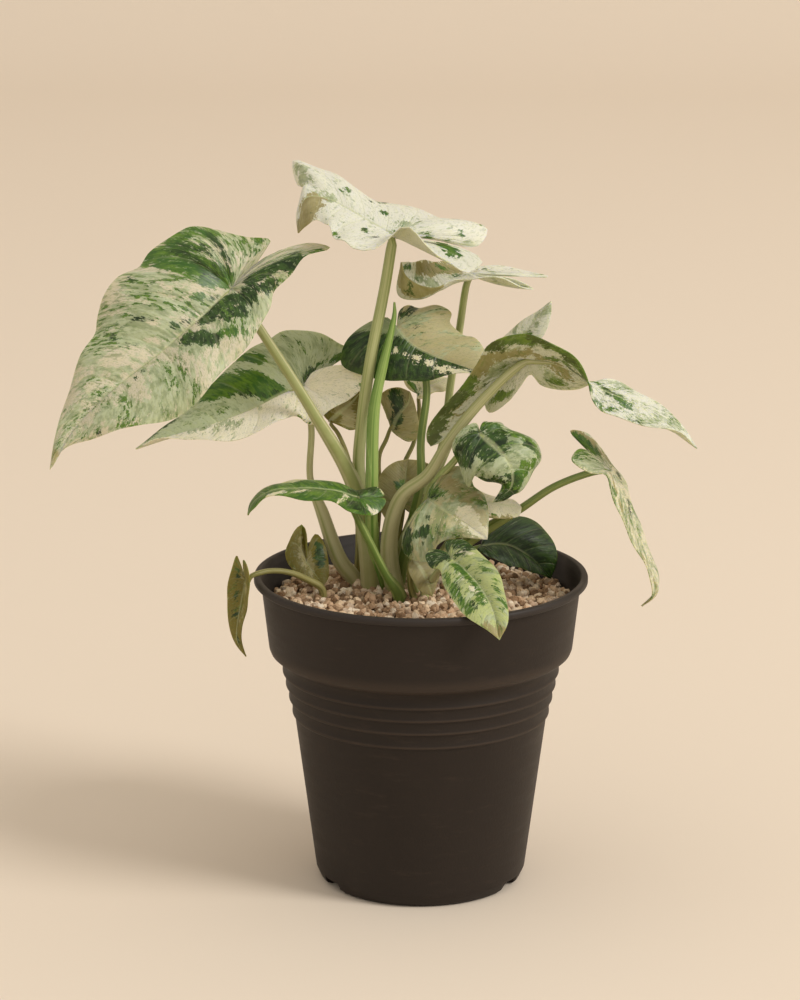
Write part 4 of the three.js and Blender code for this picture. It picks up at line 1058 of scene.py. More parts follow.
def tube(points, radii, rings, sides, outline):
    """A closed tube along a smooth path. Its ring at share v of the length has the radius worked
    out between the given radii, times outline(turn, v)."""
    shares = np.linspace(0, 1, rings + 1)
    centre, along = smooth_path(points, shares)
    stops = np.linalg.norm(np.diff(np.array(points, float), axis=0), axis=1)
    stops = np.concatenate([[0], np.cumsum(stops)]) / stops.sum()
    radius = np.interp(shares, stops, radii)
    flattest = np.linalg.svd(centre - centre.mean(0))[2][2]
    first = unit(flattest - (along @ flattest)[:, None] * along)
    second = np.cross(along, first)
    turn = np.linspace(0, 2 * np.pi, sides + 1)[None, :]
    v = shares[:, None]
    size = (radius[:, None] * outline(turn, v))[..., None]
    ring = centre[:, None] + size * (
        np.cos(turn)[..., None] * first[:, None] + np.sin(turn)[..., None] * second[:, None]
    )
    skin = np.stack(np.broadcast_arrays(turn / (2 * np.pi), v), -1).reshape(-1, 2)
    index = np.arange(ring.shape[0] * ring.shape[1]).reshape(ring.shape[:2])
    count = index.size
    bottom = np.stack([np.full(sides, count), index[0, 1:], index[0, :-1]], -1)
    top = np.stack([np.full(sides, count + 1), index[-1, :-1], index[-1, 1:]], -1)
    points = np.vstack([ring.reshape(-1, 3), centre[0], centre[-1]])
    skin = np.vstack([skin, [0.5, 0], [0.5, 1]])
    return points, skin, np.vstack([quads(index), bottom, top])


def stalk_solid(leaf):
    """The leaf's stalk: a ribbed tube that runs on under the midrib. Low down it is a sheath with
    a groove along its inner side."""
    origin, forward = (value[0] for value in smooth_path(leaf["rib"], [0.0]))
    away = leaf["stalk"][-1] - origin
    away = unit(away - (away @ forward) * forward)
    end = leaf["stalk_radii"][-1]
    run = smooth_path(leaf["rib"], [STALK_RUN])[0][0] + away * STALK_POINT
    points = [*leaf["stalk"], origin + 0.8 * end * away, run]
    radii = [*leaf["stalk_radii"], 0.85 * end, STALK_POINT]
    length = np.linalg.norm(np.diff(np.array(points, float), axis=0), axis=1).sum()

    def outline(turn, v):
        ribs = 1 - 0.025 * np.abs(np.sin(5.5 * turn))
        groove = 0.28 * np.exp(-(((turn - 4.2) / 0.35) ** 2)) * np.clip(1 - v / 0.45, 0, 1)
        return ribs * (1 - groove) * (1 + 0.05 * np.sin(9 * v + turn))

    return tube(points, radii, int(length / STALK_RING_GAP) + 12, STALK_SIDES, outline)


def painted(leaf, points, skin):
    """How far, in millimetres, each point lies inside the nearest stroke of each paint. A stroke
    is everything within its width of a line of points, on one half of the blade or on both."""
    halves_of_blade = {"left": skin[:, 0] <= 0.5, "right": skin[:, 0] >= 0.5, "both": True}
    fields = {paint: np.full(len(points), OUTSIDE_STROKES) for paint in PAINTS}
    for paint, half, width, line in leaf["strokes"]:
        start, step = line[:-1], np.diff(line, axis=0)
        gap = points[:, None] - start
        share = np.einsum("pij,ij->pi", gap, step) / np.maximum((step**2).sum(1), 1e-9)
        nearest = gap - np.clip(share, 0, 1)[..., None] * step
        depth = width - np.linalg.norm(nearest, axis=-1).min(1)
        depth = np.where(halves_of_blade[half], depth, OUTSIDE_STROKES)
        fields[paint] = np.maximum(fields[paint], depth)
    return fields


def body_radius(height):
    return BODY_FOOT_RADIUS + BODY_TAPER * (height - FOOT_HEIGHT)


def pot_profile():
    """The outline of the pot's wall, as radius and height, from the middle of its underside
    round the lip and back down to the floor. Every edge is rounded by its own few points."""
    underside = [
        [0, 0], [MIDDLE_DISC_RADIUS - 0.5, 0], [MIDDLE_DISC_RADIUS, 0.3],
        [MIDDLE_DISC_RADIUS + 1, CHANNEL_HEIGHT], [CHANNEL_OUTER_RADIUS - 1, CHANNEL_HEIGHT],
        [CHANNEL_OUTER_RADIUS, 0.3], [CHANNEL_OUTER_RADIUS + 0.4, 0],
    ]
    foot = [
        [FOOT_RADIUS - 2.6, 0], [FOOT_RADIUS - 1.1, 0.35], [FOOT_RADIUS, WALL],
        [BODY_FOOT_RADIUS - 0.25, FOOT_HEIGHT - 0.6], [BODY_FOOT_RADIUS, FOOT_HEIGHT],
        [BODY_FOOT_RADIUS + 0.13, FOOT_HEIGHT + 1],
    ]
    rings = []
    for number, height in enumerate(RING_HEIGHTS):
        low, high = number * RING_STEP, (number + 1) * RING_STEP
        rises = [(-0.6, low), (-0.3, low + 0.05), (0, high + 0.1), (0.3, high + 0.3),
                 (0.7, high + 0.25), (1.3, high)]
        rings += [[body_radius(height + rise) + out, height + rise] for rise, out in rises]
    ledge = [
        [BODY_TOP_RADIUS, LEDGE_HEIGHT - 3], [BODY_TOP_RADIUS + 0.5, LEDGE_HEIGHT - 1.4],
        [BODY_TOP_RADIUS + 1.6, LEDGE_HEIGHT - 0.3], [COLLAR_RADIUS - 1.6, LEDGE_HEIGHT + 0.8],
        [COLLAR_RADIUS - 0.7, LEDGE_HEIGHT + 1.6], [COLLAR_RADIUS - 0.2, LEDGE_HEIGHT + 2.9],
        [COLLAR_RADIUS, LEDGE_HEIGHT + 4.5],
    ]
    under_lip = POT_HEIGHT - LIP_HEIGHT - ROUNDING
    lip = [
        [RIM_RADIUS - LIP_STEP - 0.2, under_lip - 1], [RIM_RADIUS - LIP_STEP, under_lip],
        [RIM_RADIUS - 0.5, under_lip + 0.35], [RIM_RADIUS, under_lip + 0.9],
        [RIM_RADIUS, POT_HEIGHT - 0.9], [RIM_RADIUS - 0.25, POT_HEIGHT - 0.3],
        [RIM_RADIUS - 0.8, POT_HEIGHT], [RIM_RADIUS - LIP_STEP + 0.5, POT_HEIGHT],
        [RIM_RADIUS - LIP_STEP, POT_HEIGHT - 0.4],
    ]
    inside = [
        [COLLAR_RADIUS - WALL, LEDGE_HEIGHT + 6.5], [BODY_TOP_RADIUS - WALL, LEDGE_HEIGHT - 2],
        [body_radius(RING_HEIGHTS[0]) - WALL, RING_HEIGHTS[0]],
        [FOOT_RADIUS - ROUNDING, FLOOR_HEIGHT], [0, FLOOR_HEIGHT],
    ]
    return np.array(underside + foot + rings + ledge + lip + inside, float)


def lathe(profile, sides, shift=(0, 0)):
    """A profile of radius and height turned about an upright axis, seen from outside."""
    turn = np.linspace(0, 2 * np.pi, sides + 1)[:, None]
    radius, height = profile[:, 0], profile[:, 1]
    points = np.stack(
        [radius * np.sin(turn) + shift[0], shift[1] - radius * np.cos(turn), height + 0 * turn], -1
    )
    index = np.arange(points.shape[0] * points.shape[1]).reshape(points.shape[:2])
    return points.reshape(-1, 3), quads(index)[:, ::-1]


def pot_solid():
    """The pot as a turned wall. At its notches the foot ring is lifted to the channel's height."""
    points, faces = lathe(pot_profile(), POT_SIDES)
    x, y, z = points.T
    for number in range(NOTCH_COUNT):
        turn = number * 2 * np.pi / NOTCH_COUNT
        outward, sideways = y * np.cos(turn) - x * np.sin(turn), x * np.cos(turn) + y * np.sin(turn)
        notched = (outward > CHANNEL_OUTER_RADIUS - 1) & (np.abs(sideways) < NOTCH_WIDTH / 2)
        z = np.where(notched & (z < CHANNEL_HEIGHT), CHANNEL_HEIGHT, z)
    return np.stack([x, y, z], -1), faces


def drain_holes():
    """The upright rods that cut the drain holes, as one mesh."""
    rod = np.array([[0, -1], [DRAIN_RADIUS, -1], [DRAIN_RADIUS, 9], [0, 9]], float)
    points, faces = [], []
    for number in range(DRAIN_COUNT):
        turn = (number + 0.5) * 2 * np.pi / DRAIN_COUNT
        place = (-DRAIN_CIRCLE * math.sin(turn), DRAIN_CIRCLE * math.cos(turn))
        one, its_faces = lathe(rod, DRAIN_SIDES, place)
        faces.append(its_faces + sum(len(other) for other in points))
        points.append(one)
    return weld(np.vstack(points), np.vstack(faces))[:2]


def cut_drains(pot):
    points, faces = drain_holes()
    mesh = bpy.data.meshes.new("drain_rods")
    mesh.from_pydata((points / 1000).tolist(), [], faces.tolist())
    rods = bpy.data.objects.new("drain_rods", mesh)
    bpy.context.collection.objects.link(rods)
    cut = pot.modifiers.new("drains", "BOOLEAN")
    cut.operation, cut.object, cut.solver = "DIFFERENCE", rods, "EXACT"
    bpy.context.view_layer.update()
    whole = bpy.data.meshes.new_from_object(pot.evaluated_get(bpy.context.evaluated_depsgraph_get()))
    pot.modifiers.clear()
    pot.data = whole
    bpy.data.objects.remove(rods)


def unit_ball(rings, sides):
    """A ball of radius one as level rings of points between its two poles."""
    height = np.cos(np.linspace(0, np.pi, rings + 2))[1:-1, None]
    level = np.sqrt(1 - height**2)
    turn = np.arange(sides) * 2 * np.pi / sides
    ball = np.stack(np.broadcast_arrays(level * np.cos(turn), level * np.sin(turn), height), -1)
    ball = np.vstack([ball.reshape(-1, 3), [0, 0, 1], [0, 0, -1]])
    index = np.arange(rings * sides).reshape(rings, sides)
    index = np.hstack([index, index[:, :1]])
    top, bottom = np.full(sides, rings * sides), np.full(sides, rings * sides + 1)
    caps = [np.stack([top, index[0, :-1], index[0, 1:]], -1),
            np.stack([bottom, index[-1, 1:], index[-1, :-1]], -1)]
    return ball, np.vstack([quads(index)[:, ::-1], *caps])


def grains(random):
    """Thousands of small lumps in two layers over the bed: balls, each stretched, dented and turned
    at random, on a triangular lattice whose places are shifted at random."""
    ball, faces = unit_ball(GRAIN_RINGS, GRAIN_SIDES)
    places = []
    for level_height, offset in GRAIN_LAYERS:
        steps = np.arange(-GRAIN_STEPS, GRAIN_STEPS + 1)
        row, column = np.meshgrid(steps, steps, indexing="ij")
        x = (column + 0.5 * (row % 2) + offset) * GRAIN_SPACING
        y = (row * TRIANGLE_HEIGHT + 0.6 * offset) * GRAIN_SPACING
        x = x + random.uniform(-GRAIN_SHIFT, GRAIN_SHIFT, x.shape)
        y = y + random.uniform(-GRAIN_SHIFT, GRAIN_SHIFT, y.shape)
        away = (x - MOUND_PLACE[0]) ** 2 + (y - MOUND_PLACE[1]) ** 2
        mound = MOUND_HEIGHT * np.exp(-away / MOUND_REACH**2)
        z = level_height + mound + random.uniform(*GRAIN_LIFT, x.shape)
        places.append(np.stack([x, y, z], -1).reshape(-1, 3))
    places = np.vstack(places)
    size = random.uniform(*GRAIN_SIZES, (len(places), 1, 1))
    size = size * random.uniform(*GRAIN_STRETCH, (len(places), 1, 3))
    room = COLLAR_RADIUS + 0.10 * (places[:, 2] - LEDGE_HEIGHT) - WALL - size.max((1, 2))
    inside = np.hypot(places[:, 0], places[:, 1]) < room
    places, size = places[inside], size[inside]
    dents = random.uniform(*GRAIN_DENTS, (len(places), len(ball), 1))
    turned = np.linalg.qr(random.normal(size=(len(places), 3, 3)))[0]
    turned *= np.linalg.det(turned)[:, None, None]
    lumps = np.einsum("nij,nkj->nki", turned, ball * dents * size) + places[:, None]
    tone = np.repeat(random.uniform(0, 1, len(places)), len(ball))
    first = np.arange(len(places))[:, None, None] * len(ball)
    return lumps.reshape(-1, 3), (faces + first).reshape(-1, 3), tone


def bed_solid():
    """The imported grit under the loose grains, a turned body just inside the pot's wall."""
    outline = [
        [0, FLOOR_HEIGHT + 0.35], [FOOT_RADIUS - 1.2, FLOOR_HEIGHT + 0.35],
        [body_radius(RING_HEIGHTS[0]) - WALL - 0.35, RING_HEIGHTS[0]],
        [BODY_TOP_RADIUS - WALL - 0.35, LEDGE_HEIGHT - 2],
        [COLLAR_RADIUS - WALL - 0.4, LEDGE_HEIGHT + 6.5],
        [COLLAR_RADIUS - 0.6, BED_HEIGHT], [0, BED_HEIGHT],
    ]
    return lathe(np.array(outline, float), BED_SIDES)


def new_leaf_solid():
    """The newest leaf, rolled up: a thinning tube whose radius creeps up round each turn and
    drops at the free margin, which winds slowly round it."""
    def outline(turn, v):
        wound = (turn / (2 * np.pi) + 1.3 * v) % 1
        return 0.93 + 0.14 * wound**2

    points = halves(np.vstack([SPEAR["foot"], picked_places(SPEAR["points"])]))
    return tube(points, SPEAR["radii"], SPEAR_RINGS, SPEAR_SIDES, outline)


def new_material(name, roughness):
    material = bpy.data.materials.new(name)
    material.use_nodes = True
    tree = material.node_tree
    shader = tree.nodes["Principled BSDF"]
    shader.inputs["Roughness"].default_value = roughness
    return material, tree, shader


def node(tree, kind, inputs=None, **settings):
    """A node with its settings, and its inputs by name, each a number, a colour or a socket."""
    made = tree.nodes.new(kind)
    for name, value in settings.items():
        setattr(made, name, value)
    for name, value in (inputs or {}).items():
        feed(tree, value, made.inputs[name])
    return made


def feed(tree, value, socket):
    if isinstance(value, bpy.types.NodeSocket):
        tree.links.new(value, socket)
    else:
        socket.default_value = value


def maths(tree, operation, *values):
    made = tree.nodes.new("ShaderNodeMath")
    made.operation = operation
    for socket, value in zip(made.inputs, values):
        feed(tree, value, socket)
    return made.outputs[0]


def times(tree, first, second):
    return maths(tree, "MULTIPLY", first, second)


def times_plus(tree, first, second, third):
    return maths(tree, "MULTIPLY_ADD", first, second, third)


def stepped(tree, value, low, high):
    """A smooth step from 0 at low to 1 at high."""
    inputs = {"Value": value, "From Min": low, "From Max": high}
    made = node(tree, "ShaderNodeMapRange", inputs, interpolation_type="SMOOTHSTEP")
    return made.outputs["Result"]


def mixed(tree, share, first, second):
    made = node(tree, "ShaderNodeMix", data_type="RGBA")
    feed(tree, share, made.inputs[0])
    feed(tree, first, made.inputs[6])
    feed(tree, second, made.inputs[7])
    return made.outputs[2]


def noise(tree, vector, scale, detail=4.0, roughness=0.6):
    inputs = {"Vector": vector, "Scale": scale, "Detail": detail, "Roughness": roughness}
    return node(tree, "ShaderNodeTexNoise", inputs).outputs["Fac"]


def object_place(tree):
    return node(tree, "ShaderNodeTexCoord").outputs["Object"]


def split(tree, vector):
    return node(tree, "ShaderNodeSeparateXYZ", {"Vector": vector}).outputs


def skin_place(tree):
    """The piece's own skin coordinates, across and along."""
    return split(tree, node(tree, "ShaderNodeUVMap", uv_map="skin").outputs["UV"])[:2]


def joined(tree, x, y, z):
    return node(tree, "ShaderNodeCombineXYZ", {"X": x, "Y": y, "Z": z}).outputs["Vector"]


def attribute(tree, name):
    return node(tree, "ShaderNodeAttribute", attribute_name=name).outputs["Fac"]


def bent_skin(tree, u, v):
    """The share t of the way out from the midrib, and v bent as the side veins are."""
    t = maths(tree, "ABSOLUTE", times_plus(tree, u, 2.0, -1.0))
    return t, times_plus(tree, times(tree, t, t), VEIN_BEND, v)


def finish_skin(tree, shader, colour, height, strength, distance):
    """Gives the shader its colour and its fine relief."""
    feed(tree, colour, shader.inputs["Base Color"])
    bump = node(tree, "ShaderNodeBump", {"Strength": strength, "Distance": distance, "Height": height})
    feed(tree, bump.outputs["Normal"], shader.inputs["Normal"])


def new_group(name, inputs, outputs):
    """A shader node group with named inputs (kind and start value) and outputs."""
    group = bpy.data.node_groups.new(name, "ShaderNodeTree")
    for socket, (kind, value) in inputs.items():
        made = group.interface.new_socket(socket, in_out="INPUT", socket_type="NodeSocket" + kind)
        if value is not None:
            made.default_value = value
    for socket, kind in outputs.items():
        group.interface.new_socket(socket, in_out="OUTPUT", socket_type="NodeSocket" + kind)
    return group, group.nodes.new("NodeGroupInput").outputs, group.nodes.new("NodeGroupOutput").inputs


def use_group(tree, group, inputs):
    made = tree.nodes.new("ShaderNodeGroup")
    made.node_tree = group
    for name, value in inputs.items():
        feed(tree, value, made.inputs[name])
    return made.outputs


def ragged_edge():
    """A paint's mask: 1 where the point lies inside the paint's strokes, with an edge that a
    coarse and a fine noise fray by Rag millimetres."""
    group, given, result = new_group(
        "ragged edge",
        {"Depth": ("Float", 0.0), "Streaks": ("Vector", None), "Rag": ("Float", 3.0)},
        {"Mask": "Float"},
    )
    coarse = maths(group, "SUBTRACT", noise(group, given["Streaks"], 0.28, 6.0, 0.68), 0.5)
    fine = maths(group, "SUBTRACT", noise(group, given["Streaks"], 1.7, 3.0, 0.6), 0.5)
    fray = maths(group, "ADD", times(group, coarse, 2.4), fine)
    depth = times_plus(group, fray, given["Rag"], given["Depth"])
    group.links.new(stepped(group, depth, -0.35, 0.35), result["Mask"])
    return group


def vein_lines():
    """Masks of the midrib, the side veins and the fine veins between them, from the skin's own
    coordinates. Side veins lie where Count times (v + bend t^2) is a whole number, with t the
    share of the way out from the midrib."""
    group, given, result = new_group(
        "vein lines",
        {"U": ("Float", 0.5), "V": ("Float", 0.0), "Count": ("Float", 7.0),
         "Half width": ("Float", 20.0)},
        {"Midrib": "Float", "Side veins": "Float", "Fine veins": "Float"},
    )
    t, bent = bent_skin(group, given["U"], given["V"])
    out = times(group, t, given["Half width"])
    group.links.new(stepped(group, out, 1.1, 0.3), result["Midrib"])
    for name, count, width in (("Side veins", 1, 0.05), ("Fine veins", 5, 0.22)):
        number = times(group, times(group, bent, given["Count"]), count)
        line = stepped(group, maths(group, "PINGPONG", number, 0.5), width, 0.0)
        group.links.new(times(group, line, stepped(group, t, 1.0, 0.75)), result[name])
    return group


RAGGED_EDGE = ragged_edge()
VEIN_LINES = vein_lines()


def leaf_skin(leaf):
    """A waxy variegated blade: its ground colour clouded with grey mint, painted by strokes with
    frayed edges, flecked with dark green, and veined."""
    material, tree, shader = new_material("skin_of_" + leaf["name"], 0.42)
    u, v = skin_place(tree)
    length = float(np.linalg.norm(leaf["rib"][-1] - leaf["rib"][0])) / SLIDE
    width = float(leaf["half_width"])
    out, bent = bent_skin(tree, u, v)
    left = maths(tree, "LESS_THAN", u, 0.5)
    side = times_plus(tree, left, 37.0, float(len(leaf["name"])))
    streaks = joined(tree, times(tree, out, width * 0.45), times(tree, bent, length), side)
    masks = {}
    for name, rag in PAINTS.items():
        inputs = {"Depth": attribute(tree, name), "Streaks": streaks, "Rag": rag}
        masks[name] = use_group(tree, RAGGED_EDGE, inputs)["Mask"]
    veins = use_group(tree, VEIN_LINES, {
        "U": u, "V": v, "Count": float(leaf["veins"]), "Half width": width})
    paint = {name: linear(colour) for name, colour in COLOURS.items()}
    tint = noise(tree, streaks, 0.5, 5.0, 0.65)
    blots = noise(tree, streaks, 0.75, 3.0, 0.6)
    dust = noise(tree, streaks, 2.6, 3.0, 0.6)
    # The ground, dusted with fine olive freckles and clouded with mint
    ground = mixed(tree, left, paint[leaf["ground"][1]], paint[leaf["ground"][0]])
    freckles = times(tree, stepped(tree, dust, 0.5, 0.68), 0.2 + 0.5 * leaf["mottle"])
    colour = mixed(tree, freckles, ground, paint["mint"])
    limit = 0.66 - 0.2 * leaf["mottle"]
    clouds = stepped(tree, noise(tree, streaks, 0.2, 8.0, 0.72), limit, limit + 0.07)
    minted = maths(tree, "MAXIMUM", clouds, masks["mint"])
    mint = mixed(tree, stepped(tree, tint, 0.36, 0.62), paint["mint"], paint["palemint"])
    colour = mixed(tree, times(tree, minted, 0.9), colour, mint)
    colour = mixed(tree, masks["tan"], colour, mixed(tree, tint, paint["olive"], paint["beige"]))
    # The green paints, their dark clouds and the pale spots they leave out
    green = mixed(tree, stepped(tree, tint, 0.35, 0.62), paint["fresh"], paint["fresh_dark"])
    colour = mixed(tree, masks["fresh"], colour, green)
    dark = mixed(tree, stepped(tree, tint, 0.38, 0.62), paint["deep_dark"], paint["deep"])
    colour = mixed(tree, masks["deep"], colour, dark)
    limit = 0.66 - 0.16 * leaf["specks"]
    flecks = stepped(tree, blots, limit, limit + 0.03)
    crowded = stepped(tree, noise(tree, streaks, 0.12, 3.0, 0.5), 0.44, 0.58)
    crowded = times(tree, crowded, times_plus(tree, minted, 0.5, 0.5))
    flecks = times(tree, flecks, crowded)
    fleck = mixed(tree, stepped(tree, dust, 0.4, 0.6), paint["deep"], paint["fresh"])
    colour = mixed(tree, flecks, colour, fleck)
    greens = maths(tree, "MAXIMUM", masks["fresh"], masks["deep"])
    spared = stepped(tree, noise(tree, streaks, 0.9, 5.0, 0.65), 0.58, 0.62)
    spared = times(tree, times(tree, spared, greens), leaf["spots"])
    colour = mixed(tree, spared, colour, mint)
    cream = mixed(tree, freckles, paint["cream"], paint["palemint"])
    colour = mixed(tree, masks["cream"], colour, cream)
    midrib, side_veins = times(tree, veins["Midrib"], 0.45), times(tree, veins["Side veins"], 0.14)
    line = maths(tree, "MAXIMUM", midrib, side_veins)
    colour = mixed(tree, line, colour, paint["vein"])
    under = attribute(tree, "under")
    colour = mixed(tree, times(tree, under, 0.2), colour, paint["moss"])
    gloss = times_plus(tree, greens, -0.12, 0.44)
    gloss = times_plus(tree, tint, 0.1, gloss)
    tree.links.new(times_plus(tree, under, 0.12, gloss), shader.inputs["Roughness"])
    relief = times_plus(tree, veins["Fine veins"], -0.35, tint)
    relief = times_plus(tree, veins["Side veins"], -0.8, relief)
    finish_skin(tree, shader, colour, relief, 0.35, 0.0004)
    shader.inputs["Subsurface Weight"].default_value = 0.5
    shader.inputs["Subsurface Radius"].default_value = (1.0, 1.0, 0.35)
    shader.inputs["Subsurface Scale"].default_value = 0.0015
    shader.inputs["Specular IOR Level"].default_value = 0.35
    return material


def stalk_skin(name, pale, green, foot):
    """A juicy stalk with fine lines along it, greener in stripes and tinted towards its foot."""
    material, tree, shader = new_material(name, 0.4)
    u, v = skin_place(tree)
    turn = times(tree, u, 2 * math.pi)
    around = joined(tree, maths(tree, "COSINE", turn), maths(tree, "SINE", turn), times(tree, v, 0.5))
    lines = noise(tree, around, 9.0)
    stripes = noise(tree, around, 1.6, 3.0, 0.5)
    blotch = noise(tree, object_place(tree), 60.0)
    colour = mixed(tree, stepped(tree, stripes, 0.38, 0.66), linear(pale), linear(green))
    fine = times(tree, stepped(tree, lines, 0.5, 0.7), 0.45)
    colour = mixed(tree, fine, colour, linear(green))
    faded = times(tree, stepped(tree, blotch, 0.5, 0.75), 0.4)
    colour = mixed(tree, faded, colour, linear(pale))
    low = times(tree, stepped(tree, v, 0.3, 0.0), 0.6)
    finish_skin(tree, shader, mixed(tree, low, colour, linear(foot)), lines, 0.4, 0.0003)
    return material


def height_band(tree, z, height, start, full, fading, end):
    """1 between full and fading, and 0 below start and above end, in millimetres over height."""
    start, full, fading, end = ((height + rise) / 1000 for rise in (start, full, fading, end))
    return times(tree, stepped(tree, z, start, full), stepped(tree, z, end, fading))


def pot_plastic():
    """Matt moulded plastic, brown-black, with pale dust in its ledge and scuffs round the wall, a painted
    highlight with dust along the top of each ring, and a greyer lip."""
    material, tree, shader = new_material("pot_plastic", 0.55)
    shader.inputs["Specular IOR Level"].default_value = 0.25
    place = object_place(tree)
    z = split(tree, place)[2]
    flat = node(tree, "ShaderNodeMapping", {"Vector": place, "Scale": (1, 1, 5)}).outputs["Vector"]
    scuffs = noise(tree, flat, 60.0, 8.0, 0.7)
    clouds = noise(tree, place, 18.0, 5.0, 0.6)
    colour = mixed(tree, clouds, linear((30, 23, 18)), linear((42, 34, 28)))
    dust = times(tree, stepped(tree, scuffs, 0.52, 0.8), 0.35)
    colour = mixed(tree, dust, colour, linear((70, 58, 48)))
    ledge = height_band(tree, z, LEDGE_HEIGHT, -1.5, 1, 2.5, 6.5)
    colour = mixed(tree, times(tree, ledge, 0.25), colour, linear((84, 70, 58)))
    # Along the top of each ring's step a paler band: painted highlight where the step catches the light,
    # with dust
    for height in RING_HEIGHTS:
        ring_dust_and_highlight = height_band(tree, z, height, 0, 0.3, 0.6, 1.3)
        colour = mixed(tree, times(tree, ring_dust_and_highlight, 0.22), colour, linear((92, 76, 62)))
    under_lip = POT_HEIGHT - LIP_HEIGHT
    lip = stepped(tree, z, (under_lip - 1) / 1000, under_lip / 1000)
    colour = mixed(tree, times(tree, lip, 0.8), colour, linear((50, 44, 40)))
    feed(tree, times_plus(tree, scuffs, 0.25, 0.42), shader.inputs["Roughness"])
    finish_skin(tree, shader, colour, noise(tree, place, 900.0, 3.0), 0.18, 0.0003)
    return material


def grit_stone():
    """Pumice and baked clay: each grain has its own tone between cream, pink-brown and brown."""
    material, tree, shader = new_material("grit_stone", 0.9)
    place = object_place(tree)
    tones = node(tree, "ShaderNodeValToRGB", {"Fac": attribute(tree, "tone")})
    stops = [
        (0.0, (116, 90, 64)), (0.2, (164, 132, 100)), (0.42, (206, 172, 138)),
        (0.65, (224, 198, 164)), (0.85, (236, 220, 196)), (1.0, (198, 168, 140)),
    ]
    ramp = tones.color_ramp.elements
    for position, colour in stops[1:-1]:
        ramp.new(position).color = linear(colour)
    ramp[0].color, ramp[-1].color = linear(stops[0][1]), linear(stops[-1][1])
    mottled = noise(tree, place, 500.0, 6.0, 0.7)
    mottled = times(tree, stepped(tree, mottled, 0.45, 0.75), 0.5)
    colour = mixed(tree, mottled, tones.outputs["Color"], linear((130, 100, 72)))
    finish_skin(tree, shader, colour, noise(tree, place, 1400.0, 4.0, 0.7), 0.6, 0.0004)
    return material


def corm_bark():
    """Papery brown skin ringed by old leaf scars."""
    material, tree, shader = new_material("corm_bark", 0.85)
    place = object_place(tree)
    ragged = noise(tree, place, 180.0, 5.0, 0.65)
    rings = maths(tree, "PINGPONG", times_plus(tree, split(tree, place)[2], 260.0, ragged), 0.5)
    colour = mixed(tree, rings, linear((82, 60, 40)), linear((134, 104, 72)))
    finish_skin(tree, shader, colour, rings, 0.6, 0.0006)
    return material


def backdrop_paper():
    """Matt pale paper with a faint fleck."""
    material, tree, shader = new_material("backdrop_paper", 0.95)
    flecks = times(tree, noise(tree, object_place(tree), 900.0, 3.0, 0.5), 0.06)
    colour = mixed(tree, flecks, linear(BACKDROP), linear(BACKDROP_FLECKS))
    feed(tree, colour, shader.inputs["Base Color"])
    return material


def backdrop():
    """A seamless sweep in metres: a flat floor that curves up into a wall far behind the plant."""
    bend = np.linspace(0, np.pi / 2, 17)
    curve = np.stack([SWEEP_BEND + SWEEP_RADIUS * np.sin(bend), SWEEP_RADIUS * (1 - np.cos(bend))], -1)
    profile = np.vstack([[SWEEP_FRONT, 0], curve, [SWEEP_BEND + SWEEP_RADIUS, SWEEP_TOP]])
    x = np.array([-SWEEP_SIDE, SWEEP_SIDE])
    points = np.stack([
        np.repeat(x, len(profile)), np.tile(profile[:, 0], 2), np.tile(profile[:, 1], 2)], -1)
    n = len(profile)
    faces = [[i, n + i, n + i + 1, i + 1] for i in range(n - 1)]
    mesh = bpy.data.meshes.new("backdrop")
    mesh.from_pydata(points.tolist(), [], faces)
    mesh.polygons.foreach_set("use_smooth", np.ones(len(faces), bool))
    mesh.materials.append(backdrop_paper())
    sweep = bpy.data.objects.new("backdrop", mesh)
    bpy.context.collection.objects.link(sweep)


def soft_light(name, place, aim, size, power, colour):
    light = bpy.data.lights.new(name, "AREA")
    light.shape, light.size, light.energy, light.color = "DISK", size, power, colour
    lamp = bpy.data.objects.new(name, light)
    lamp.location = place
    direction = Vector(aim) - Vector(place)
    lamp.rotation_euler = direction.to_track_quat("-Z", "Y").to_euler()
    bpy.context.collection.objects.link(lamp)


def camera():
    """The camera that the picks are read through. Its longer side is the photograph's height."""
    lens = bpy.data.cameras.new("camera")
    lens.sensor_width = SENSOR_WIDTH
    lens.lens = round(FOCAL_PIXELS / PHOTO_HEIGHT * SENSOR_WIDTH, 1)
    lens.clip_start, lens.clip_end = 0.05, 30
    eye = bpy.data.objects.new("camera", lens)
    eye.location = np.round(EYE / 1000, 4)
    eye.rotation_euler = (math.radians(90 - VIEW_ELEVATION), 0, 0)
    bpy.context.collection.objects.link(eye)
    bpy.context.scene.camera = eye


def world(colour, strength):
    room = bpy.data.worlds.new("room")
    room.use_nodes = True
    background = room.node_tree.nodes["Background"]
    background.inputs["Color"].default_value = linear(colour)
    background.inputs["Strength"].default_value = strength
    bpy.context.scene.world = room


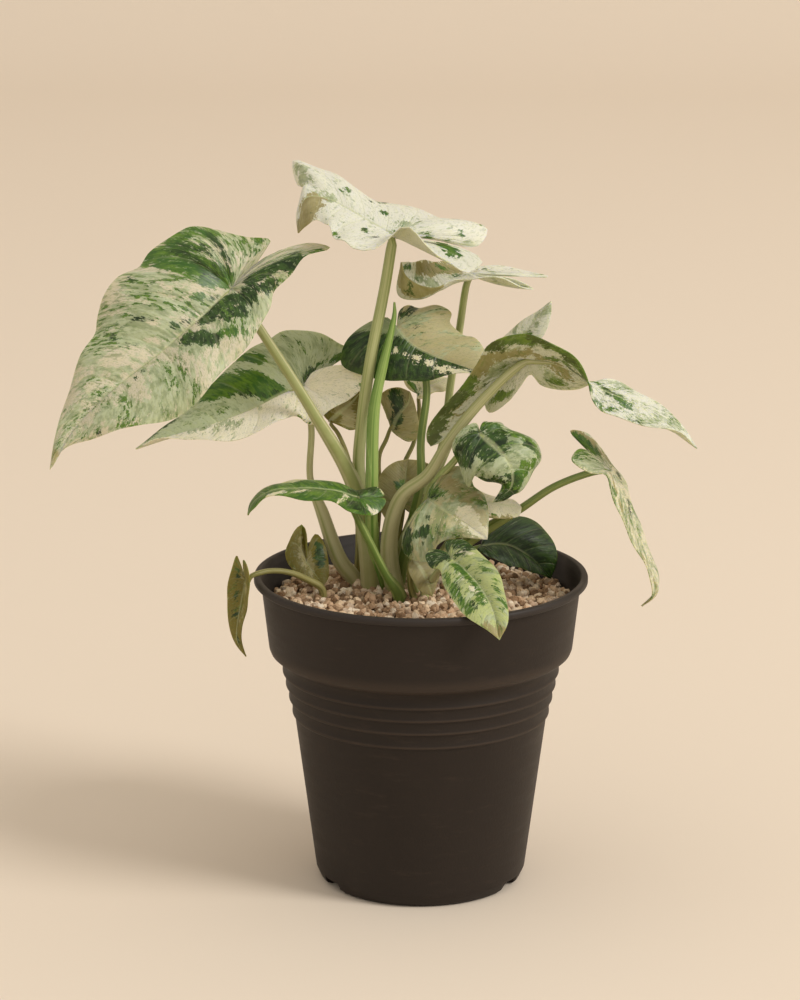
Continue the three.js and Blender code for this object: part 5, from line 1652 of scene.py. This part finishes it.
# The stage, shown by the plain display curve that the colours are written for
bpy.context.scene.view_settings.view_transform = "Standard"
camera()
backdrop()
world(colour=(255, 249, 240), strength=0.78)
soft_light(
    "key", place=(3.2, -1.7, 2.9), aim=(0, 0, 0.12), size=1.7, power=126, colour=(1.0, 0.98, 0.95))

# The pot and what fills it
pot_piece = add_piece("nursery_pot", *pot_solid(), [pot_plastic()], "pot_plastic", "pot")
cut_drains(pot_piece)
stone = grit_stone()
bed_points, bed_faces = bed_solid()
bed_tone = np.full(len(bed_points), BED_TONE)
add_piece("grit_bed", bed_points, bed_faces, [stone], "grit", "grit", paints={"tone": bed_tone})
loose_points, loose_faces, loose_tone = grains(np.random.default_rng(GRAIN_SEED))
add_piece("grit_grains", loose_points, loose_faces, [stone], "grit", paints={"tone": loose_tone})
frame["nodes"]["corm"].data.materials[0] = corm_bark()

# The plant
STALKS = {name: stalk_skin("stalk_" + name, *colours) for name, colours in STALK_COLOURS.items()}


def add_leaf(leaf):
    """One leaf: its blade and its stalk in one piece, each with its own skin."""
    points, skin, faces = blade_solid(leaf)
    paints = painted(leaf, points, skin)
    paints["under"] = np.repeat([0.0, 1.0], len(points) // 2)
    stalk_points, stalk_uv, stalk_faces = stalk_solid(leaf)
    bare = np.zeros(len(stalk_points))
    paints = {name: np.concatenate([values, bare]) for name, values in paints.items()}
    look = np.repeat([0, 1], [len(faces), len(stalk_faces)]).astype(np.int32)
    add_piece(
        leaf["name"].replace("leaf_", "grown_leaf_"),
        np.vstack([points, stalk_points]),
        np.vstack([faces, stalk_faces + len(points)]),
        [leaf_skin(leaf), STALKS[leaf["stalk_look"]]],
        leaf["look"] + "_leaf",
        leaf["name"],
        np.vstack([skin, stalk_uv]),
        paints,
        look,
    )


for picked_leaf in PICKED_LEAVES:
    add_leaf(placed(picked_leaf))
spear_points, spear_uv, spear_faces = new_leaf_solid()
spear_skins = [stalk_skin("rolled_leaf", *SPEAR_COLOURS)]
add_piece(
    "rolled_new_leaf", spear_points, spear_faces, spear_skins, "new_leaf", "new_leaf_rolled", spear_uv)
